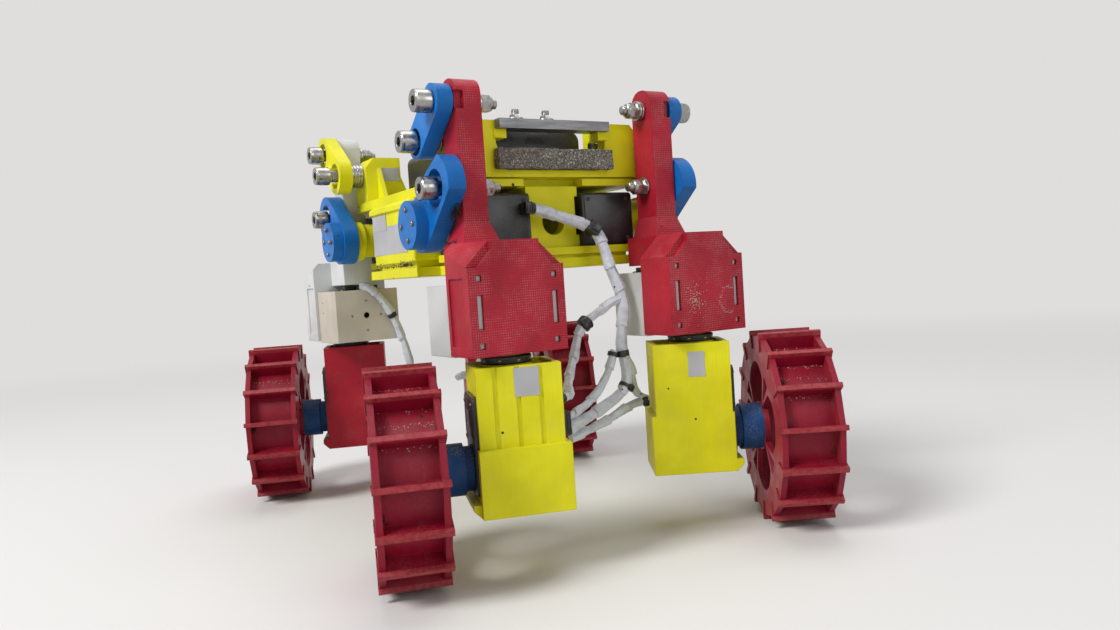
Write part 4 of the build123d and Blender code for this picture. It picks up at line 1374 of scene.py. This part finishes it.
# %% Labels
KNUCKLE_FRONT_X = STEER_X + 19.0
KNUCKLE_LABELS = {"front_right": (54.6, 100.2, 12.7, 14.5), "front_left": (60.8, 96.5, 9.6, 14.2)}
TOWER_LABEL = ((-62.0, -44.5, 229.4), X_AXIS, 12.6, 9.2, 0.5)
BOX_LABELS = ((-4.0, 70.0, 180.4, 59.0, 18.0, 0.3), (-20.5, 70.16, 192.0, 25.0, 10.0, 0.2))
BOX_SIDES = {"right": -1, "left": 1}
CARD_THICK, CARD_SQUARE, CARD_ROUND = 0.16, 0.9, 0.06


def label_card(centre, normal, wide, tall, lift=0.35):
    """Thin card on a face, whose corners have lifted by so much."""
    def curl(p):
        return lift * (abs(p.x) * 2 / wide) ** 6 * (abs(p.y) * 2 / tall) ** 4 + 0.02

    x, y = wide / 2, tall / 2
    card = rounded_grid((-x, -y, 0.0), (x, y, CARD_THICK), CARD_SQUARE, CARD_ROUND)
    return placed(card, centre, Z_AXIS.cross(normal), Z_AXIS, curl)


def stick(name, cards, body):
    fit(name, cards, body, LABEL_PAPER)


for corner, (y, z, wide, tall) in KNUCKLE_LABELS.items():
    card = label_card(at_corner(corner, KNUCKLE_FRONT_X, y, z, steered=True),
                      corner_direction(corner, 1, 0, 0, steered=True), wide, tall)
    stick(f"{corner}_knuckle_label", [card], f"{corner}_steering_body")
stick("tower_label", [label_card(*TOWER_LABEL)], "chassis")
for name, side in BOX_SIDES.items():
    cards = [label_card((x, side * y, z), Y_AXIS * side, wide, tall, lift)
             for x, y, z, wide, tall, lift in BOX_LABELS]
    stick(f"box_label_{name}", cards, "chassis")
print("blank labels on", len(KNUCKLE_LABELS), "knuckles, a tower and the electronics box")

# %% [markdown]
# ## Steering horns and the plates behind the slots
#
# Between each knuckle and its leg a dark servo horn shows as a black ring. The slots in the
# front plates show a pale backing just behind the print.

# %% Horn rings and slot backings
HORN_FOOT = 108.62
HORN_PROFILE = [(0, 12.6), (0, 13.1), (0.35, 13.3), (1.5, 13.3), (1.7, 13.0), (2.2, 13.0),
                (2.4, 13.3), (3.5, 13.3), (3.9, 12.9), (3.92, 9.4)]
SLOT_ROWS = (STEER_Y - 21.2, STEER_Y + 21.2)
SLOTS = ((136.0, 8.3), (119.4, 1.4), (152.6, 1.4))   # height and half length of each
BACKING_X, BACKING_HALF = (141.4, 143.4), 1.5


def notched(along, angle, i):
    return -0.22 if (i // 2) % 4 == 0 and 0.4 < along < 3.4 else 0.0


for corner in CORNERS:
    ring = turned(at_corner(corner, STEER_X, STEER_Y, HORN_FOOT, steered=True), Z_AXIS, HORN_PROFILE,
                  around=64, ripple=notched)
    fit(f"{corner}_horn_ring", [ring], f"{corner}_steering_body", CONNECTOR_BLACK)
    backs = [corner_box(corner, (BACKING_X[0], row - BACKING_HALF, z - half),
                        (BACKING_X[1], row + BACKING_HALF, z + half), 0.2, 1)
             for row in SLOT_ROWS for z, half in SLOTS]
    fit(f"{corner}_slot_backing", backs, f"{corner}_leg_body", BACKING)
print("horn rings and slot backings at", len(CORNERS), "corners")

# %% [markdown]
# ## Servo details
#
# A smart servo is more than a black block: a lid with a seam, four long screws, a horn side
# with a raised boss, and a blank rating label. The drive servos show all that in the open side
# of each knuckle, and the lift servos show their rounded ends between the chassis plates.

# %% Servo faces
LID_PROUD = 0.45
RIM_ASIDE, RIM_DOWN, RIM_PROUD = 2.4, 5.0, 0.8   # how far the rim stays inside the lid, and its height
SCREW_INSET = 2.6
SERVO_SCREW_R, SERVO_SCREW_PROUD = 1.25, 0.75


def servo_face(centre, wide_way, tall_way, wide, tall):
    """Lid and seam for one end of a servo, and its four corner screws."""
    x, y = wide / 2, tall / 2
    lid = bevelled_box((-x, -y, -0.4), (x, y, LID_PROUD), 0.4)
    rim = bevelled_box((-x + RIM_ASIDE, -y + RIM_DOWN, 0.2), (x - RIM_ASIDE, y - RIM_DOWN, RIM_PROUD), 0.3)
    proud = wide_way.cross(tall_way)
    screws = [pan_screw(centre + wide_way * i * (x - SCREW_INSET) + tall_way * j * (y - SCREW_INSET)
                        + proud * 0.2, proud, SERVO_SCREW_R, SERVO_SCREW_PROUD, 16)
              for i in (-1, 1) for j in (-1, 1)]
    return [placed(shape, centre, wide_way, tall_way) for shape in (lid, rim)], screws


print("servo faces have a lid, a rim and four screws")

# %% [markdown]
# The drive servo's face has a boss ring round the hub and a blank sticker. The lift servo's
# end is plain.

# %% Drive servos and lift servos
DRIVE_FACE = (29.0, 24.0)             # width and height
DRIVE_FACE_OUT, DRIVE_FACE_Z = 82.0, 80.6
BOSS_PROFILE = [(-0.2, 12.6), (0.1, 12.5), (0.28, 12.2)]
LIFT_END = (33.0, 29.0)
LIFT_END_X, LIFT_END_Y = 86.0, 36.0
STICKER = rounded_grid((-4.5, -4.0, 0.0), (4.5, 4.0, 0.14), step=1.0, radius=0.05)
STICKER_UP = 2.0

for corner, (fore, side, steer) in CORNERS.items():
    steering = f"{corner}_steering_body"
    out = corner_direction(corner, 0, 1, 0, steered=True)
    across = Z_AXIS.cross(out)
    top = at_corner(corner, STEER_X, DRIVE_FACE_OUT, DRIVE_FACE_Z, steered=True)
    face, screws = servo_face(top, across, Z_AXIS, *DRIVE_FACE)
    hub = at_corner(corner, STEER_X, DRIVE_FACE_OUT, AXLE_Z, steered=True)
    boss = turned(hub, out, BOSS_PROFILE, around=40)
    sticker = placed(STICKER, top + out * RIM_PROUD + Z_AXIS * STICKER_UP, across, Z_AXIS)
    fit(f"{corner}_drive_servo_lid", face + [boss], steering, SERVO_BLACK)
    fit(f"{corner}_drive_servo_screws", screws, steering, SCREW_STEEL)
    stick(f"{corner}_drive_servo_sticker", [sticker], steering)
    end = Vector((fore * LIFT_END_X, side * LIFT_END_Y, LIFT_Z))
    face, screws = servo_face(end, Y_AXIS * fore, Z_AXIS, *LIFT_END)
    fit(f"{corner}_lift_servo_end", face[:1], "chassis", SERVO_BLACK)
    fit(f"{corner}_lift_servo_screws", screws, "chassis", SERVO_BLACK)
print("servo faces at", len(CORNERS), "corners")

# %% [markdown]
# Each steering servo has two small plugs on its top, under the leg's roof, and three small
# screws. They show over the open edge of the cover.

# %% Plugs on the steering servos
PLUG_X, PLUG_LONG, PLUG_HALF = 93.6, 6.0, 4.2
PLUG_FOOT, PLUG_TOP = 149.8, 153.0
TOP_SCREW_X, TOP_SCREW_Z = 95.0, 149.7
TOP_SCREW_R, TOP_SCREW_PROUD = 1.7, 1.1

for corner in CORNERS:
    plugs = [corner_box(corner, (PLUG_X, y - PLUG_HALF, PLUG_FOOT),
                        (PLUG_X + PLUG_LONG, y + PLUG_HALF, PLUG_TOP), 0.4)
             for y in (STEER_Y - 8.0, STEER_Y + 8.0)]
    screws = [pan_screw(at_corner(corner, TOP_SCREW_X, STEER_Y + aside, TOP_SCREW_Z), Z_AXIS,
                        TOP_SCREW_R, TOP_SCREW_PROUD) for aside in (-13.5, 0.0, 13.5)]
    fit(f"{corner}_steer_servo_plugs", plugs, f"{corner}_leg_body", CONNECTOR_BLACK)
    fit(f"{corner}_steer_servo_screws", screws, f"{corner}_leg_body", SCREW_STEEL)
print("steering servo plugs fitted")

# %% [markdown]
# ## Studs on the bar
#
# Two threaded studs stand on the aluminium bar, each in a thin nut on its washer.

# %% Stud threads and nuts
BAR_X, BAR_TOP = 86.0, 241.2
STUD_ROWS = (-23.5, -3.5)
STUD_WASHER_R, STUD_WASHER_THICK = 4.55, 1.05
STUD_NUT_LONG, STUD_NUT_R = 1.9, 3.7
STUD_FOOT, STUD_LONG, STUD_R, STUD_PITCH = 2.9, 2.7, 2.1, 0.7


def make_studs():
    shapes = []
    for y in STUD_ROWS:
        base = Vector((BAR_X, y, BAR_TOP))
        shapes.append(washer_ring(base, Z_AXIS, STUD_WASHER_R, STUD_WASHER_THICK))
        shapes.append(nut_shell(base + Z_AXIS * STUD_WASHER_THICK, Z_AXIS, STUD_NUT_LONG, STUD_NUT_R))
        shapes.append(thread(base + Z_AXIS * STUD_FOOT, Z_AXIS, STUD_LONG, STUD_R, STUD_PITCH))
    return fit("bar_stud_detail", shapes, "chassis", ZINC)


print("studs:", len(make_studs().data.polygons), "faces")

# %% [markdown]
# ## Grit
#
# Black grit clings in the wheels' pockets and under the electronics box, and grains of sand lie
# in the top pockets. Each crumb is a tiny irregular lump that touches its surface, so it stays
# in the mesh as well as in the picture.

# %% Crumbs
LUMP_FACES = [(0, 2, 4), (2, 1, 4), (1, 3, 4), (3, 0, 4), (2, 0, 5), (1, 2, 5), (3, 1, 5), (0, 3, 5)]


def crumb(centre, size, draw, stretch=1.0):
    """Irregular lump with six corners, or a bristle where it is stretched."""
    ways = ((stretch, 0, 0), (-stretch, 0, 0), (0, 1, 0), (0, -1, 0), (0, 0, 1), (0, 0, -1))
    arms = [Vector(way) * size * draw.uniform(0.6, 1.2) for way in ways]
    turn = Matrix.Rotation(draw.uniform(0, 6.28), 3, Vector((draw.random(), draw.random(), 1)))
    return [Vector(centre) + turn @ arm for arm in arms], LUMP_FACES


def scatter(name, body, spots, material):
    fit(name, [crumb(*spot) for spot in spots], body, material, sharp_degrees=20)


def scatter_grit(name, body, spots):
    scatter(name, body, spots, GRIT)


def scatter_sand(name, body, spots):
    scatter(name, body, spots, SAND_GRAINS)


print("a crumb has", len(LUMP_FACES), "faces")

# %% [markdown]
# In the wheels, each pocket between two grousers may hold one clump of grit, against one of the
# rims. Sand stays only in the pockets that face up, along the grousers.

# %% Grit and sand in the wheels
DRUM_R, POCKETS, FIRST_POCKET = 46.2, 15, 10.0
POCKET_IN, POCKET_OUT = 103.0, 129.0
CLUMP_CHANCE, CLUMP_ABOVE, SAND_ABOVE = 0.7, 0.3, 0.15


def on_drum(corner, angle, y, above):
    reach = DRUM_R + above
    x, z = STEER_X + reach * math.cos(angle), AXLE_Z + reach * math.sin(angle)
    return at_corner(corner, x, y, z, steered=True)


for corner in CORNERS:
    draw = random.Random(corner)
    dark, pale = [], []
    for pocket in range(POCKETS):
        middle = math.radians(FIRST_POCKET + pocket * 360 / POCKETS)
        if draw.random() < CLUMP_CHANCE:
            rim, clump = draw.choice((POCKET_IN, POCKET_OUT)), draw.uniform(-0.10, 0.10)
            for _ in range(draw.randint(10, 26)):
                angle = middle + clump + draw.gauss(0, 0.025)
                place = on_drum(corner, angle, rim + draw.gauss(0, 0.9), CLUMP_ABOVE)
                dark.append((place, draw.uniform(0.3, 0.75), draw))
        if math.sin(middle) > 0.5:
            for _ in range(draw.randint(20, 45)):
                angle = middle + draw.choice((-1, 1)) * draw.uniform(0.08, 0.15)
                place = on_drum(corner, angle, draw.uniform(POCKET_IN, POCKET_OUT), SAND_ABOVE)
                pale.append((place, draw.uniform(0.22, 0.48), draw))
    scatter_grit(f"{corner}_wheel_grit", f"{corner}_wheel_body", dark)
    scatter_sand(f"{corner}_wheel_sand", f"{corner}_wheel_body", pale)
    print(corner, len(dark), "crumbs of grit,", len(pale), "grains of sand")

# %% [markdown]
# Grit also lies in a line along the foot of the electronics box, on the front right leg's outer
# face, and along the ledge below. Every place comes from one seeded generator.

# %% Grit on the box and the leg
BOX_CRUMBS, LEG_CRUMBS, LEDGE_CRUMBS = 150, 420, 160
BOX_SIDE_Y, BOX_FOOT_Z, BOX_HALF_LONG = 71.05, 162.6, 36
BOX_CLUMP_X = 22
LEG_FACE_X, LEG_FACE_Y, LEG_FACE_Z = 90.0, -71.08, 184.5
LEG_FACE_END, LEG_FACE_FOOT = 105, 175.5
LEDGE_X, LEDGE_Y, LEDGE_Z, LEDGE_LONG = 89.6, -72.0, 172.3, 15
draw = random.Random(31)
under_box = []
for side in (-1, 1):
    for _ in range(BOX_CRUMBS):
        x = draw.choice((draw.uniform(-BOX_HALF_LONG, BOX_HALF_LONG), draw.gauss(BOX_CLUMP_X, 6)))
        place = Vector((x, side * BOX_SIDE_Y, BOX_FOOT_Z + abs(draw.gauss(0, 1.3))))
        under_box.append((place, draw.uniform(0.25, 0.6), draw))
scatter_grit("box_grit", "chassis", under_box)

by_leg = []
for _ in range(LEG_CRUMBS):
    x = LEG_FACE_X + abs(draw.gauss(0, 5.0))
    place = Vector((x, LEG_FACE_Y, draw.gauss(LEG_FACE_Z, 4.6)))
    if place.x < LEG_FACE_END and place.z > LEG_FACE_FOOT:
        by_leg.append((place, draw.uniform(0.22, 0.34), draw))
for _ in range(LEDGE_CRUMBS):
    x = LEDGE_X + LEDGE_LONG * draw.uniform(0, 1)
    place = Vector((x, LEDGE_Y - 2.0 * draw.random(), LEDGE_Z + draw.gauss(0, 0.5)))
    by_leg.append((place, draw.uniform(0.3, 0.6), draw))
scatter_grit("leg_grit", "front_right_leg_body", by_leg)
print("crumbs on the frame:", len(under_box) + len(by_leg))

# %% [markdown]
# Under the front right link hangs a clump like short bristles, so its crumbs are stretched. On
# the front left steering box sand has dried in two patches: one filled, one only a ring.

# %% Bristles and sand patches
BRISTLES, BRISTLES_Y, BRISTLES_DEEP = 420, -72.4, 5.5
PATCH_GRAINS, PATCH_X = 330, 145.03
FILLED_PATCH = (51.5, 132.5, 5.0, 6.5)        # middle, half width and half height
RING_PATCH = (76.0, 131.5, 6.0, 7.5)
FILLED_SHARE = 0.6
LEFT_BOX_Y, LEFT_BOX_Z = (42, 79.5), (117, 148)

bristles = []
for _ in range(BRISTLES):
    place = (COLLAR_CENTRE + UNDERSIDE * (COLLAR_SWEEP + min(abs(draw.gauss(0, 2.2)), BRISTLES_DEEP))
             + ALONG * draw.gauss(-3.0, 3.2) + Vector((0, BRISTLES_Y - abs(draw.gauss(0, 1.6)), 0)))
    bristles.append((place, draw.uniform(0.16, 0.32), draw, draw.uniform(1.0, 3.0)))
scatter_grit("link_bristles", "front_right_lower_arm", bristles)

patches = []
for _ in range(PATCH_GRAINS):
    swing, reach = draw.uniform(0, 2 * math.pi), abs(draw.gauss(0, 1))
    filled = draw.random() < FILLED_SHARE
    y, z, half_wide, half_tall = FILLED_PATCH if filled else RING_PATCH
    reach = reach if filled else 1.0
    across, up = y + half_wide * reach * math.cos(swing), z + half_tall * reach * math.sin(swing)
    place = Vector((PATCH_X, across + draw.gauss(0, 0.5), up + draw.gauss(0, 0.5)))
    if LEFT_BOX_Y[0] < place.y < LEFT_BOX_Y[1] and LEFT_BOX_Z[0] < place.z < LEFT_BOX_Z[1]:
        patches.append((place, draw.uniform(0.14, 0.34), draw))
scatter_sand("left_box_sand", "front_left_leg_body", patches)
print(len(bristles), "bristles and", len(patches), "grains in the patches")

# %% [markdown]
# ## Floor
#
# The rover stands on a plain pale floor. Far out the floor fades into the backdrop's own tone,
# but only for rays that come from the camera, a mirror or glass, so it still lights the rover
# as a floor would. The export can't read Light Path in a group, so it stays in the material.

# %% Floor
BACKDROP = (0.74, 0.73, 0.72, 1)
FLOOR_HALF = 6000.0


def seen_directly(tree):
    """One for rays from the camera, a mirror or glass, else nought."""
    rays = add(tree, "ShaderNodeLightPath").outputs
    direct = calc(tree, "ADD", rays["Is Camera Ray"], rays["Is Glossy Ray"])
    return calc(tree, "ADD", direct, rays["Is Transmission Ray"], clamp=True)


def mixed(tree, factor, first, second):
    mix = add(tree, "ShaderNodeMixShader")
    for socket, value in zip(mix.inputs, (factor, first, second)):
        feed(tree, socket, value)
    return mix.outputs[0]


def make_floor():
    points = [(x * FLOOR_HALF, y * FLOOR_HALF, 0) for x, y in ((-1, -1), (1, -1), (1, 1), (-1, 1))]
    floor = gather("floor", [(points, [(0, 1, 2, 3)])])
    material, tree, shader = new_material("pale_floor")
    shader.inputs["Base Color"].default_value = (0.72, 0.71, 0.69, 1)
    shader.inputs["Roughness"].default_value = 0.9
    far = ramp(tree, arrows(tree, "LENGTH", object_coordinates(tree)), 0.35, 1.9)
    glow = add(tree, "ShaderNodeEmission")
    glow.inputs["Color"].default_value = BACKDROP
    surface = mixed(tree, times(tree, far, seen_directly(tree)), shader.outputs[0], glow.outputs[0])
    feed(tree, tree.nodes["Material Output"].inputs["Surface"], surface)
    floor.data.materials.append(material)
    return floor


print("floor is", round(make_floor().dimensions.x), "metres wide")

# %% [markdown]
# ## Light
#
# A large soft key light stands to the upper left, with a weak fill in front and a wide lamp
# above. The world lights faintly, but the camera and metals see it as a pale grey wall.

# %% World and lamps
MIDDLE = (0, 0, 0.12)
LAMPS = {   # place, width in metres, watts
    "key": ((0.35, -2.1, 1.9), 1.1, 62),
    "top": ((-0.3, 0.5, 2.4), 1.8, 21),
    "fill": ((2.3, 0.7, 0.9), 1.4, 10),
}


def make_world():
    world = bpy.data.worlds.new("studio")
    world.use_nodes = True
    tree = world.node_tree
    tree.nodes.clear()
    sides = []
    for colour, strength in (((0.93, 0.95, 1.0, 1), 0.33), (BACKDROP, 1.0)):
        side = add(tree, "ShaderNodeBackground")
        side.inputs["Color"].default_value = colour
        side.inputs["Strength"].default_value = strength
        sides.append(side.outputs[0])
    feed(tree, add(tree, "ShaderNodeOutputWorld").inputs[0], mixed(tree, seen_directly(tree), *sides))
    bpy.context.scene.world = world


def area_lamp(name, place, size, watts):
    data = bpy.data.lights.new(name, "AREA")
    data.shape = "DISK"
    data.size = size
    data.energy = watts
    lamp = bpy.data.objects.new(name, data)
    bpy.context.scene.collection.objects.link(lamp)
    lamp.location = place
    lamp.rotation_euler = (Vector(MIDDLE) - Vector(place)).to_track_quat("-Z", "Y").to_euler()


make_world()
for name, (place, size, watts) in LAMPS.items():
    area_lamp(name, place, size, watts)
bpy.context.scene.view_settings.view_transform = "Standard"
print("studio ready with", len(LAMPS), "lamps")
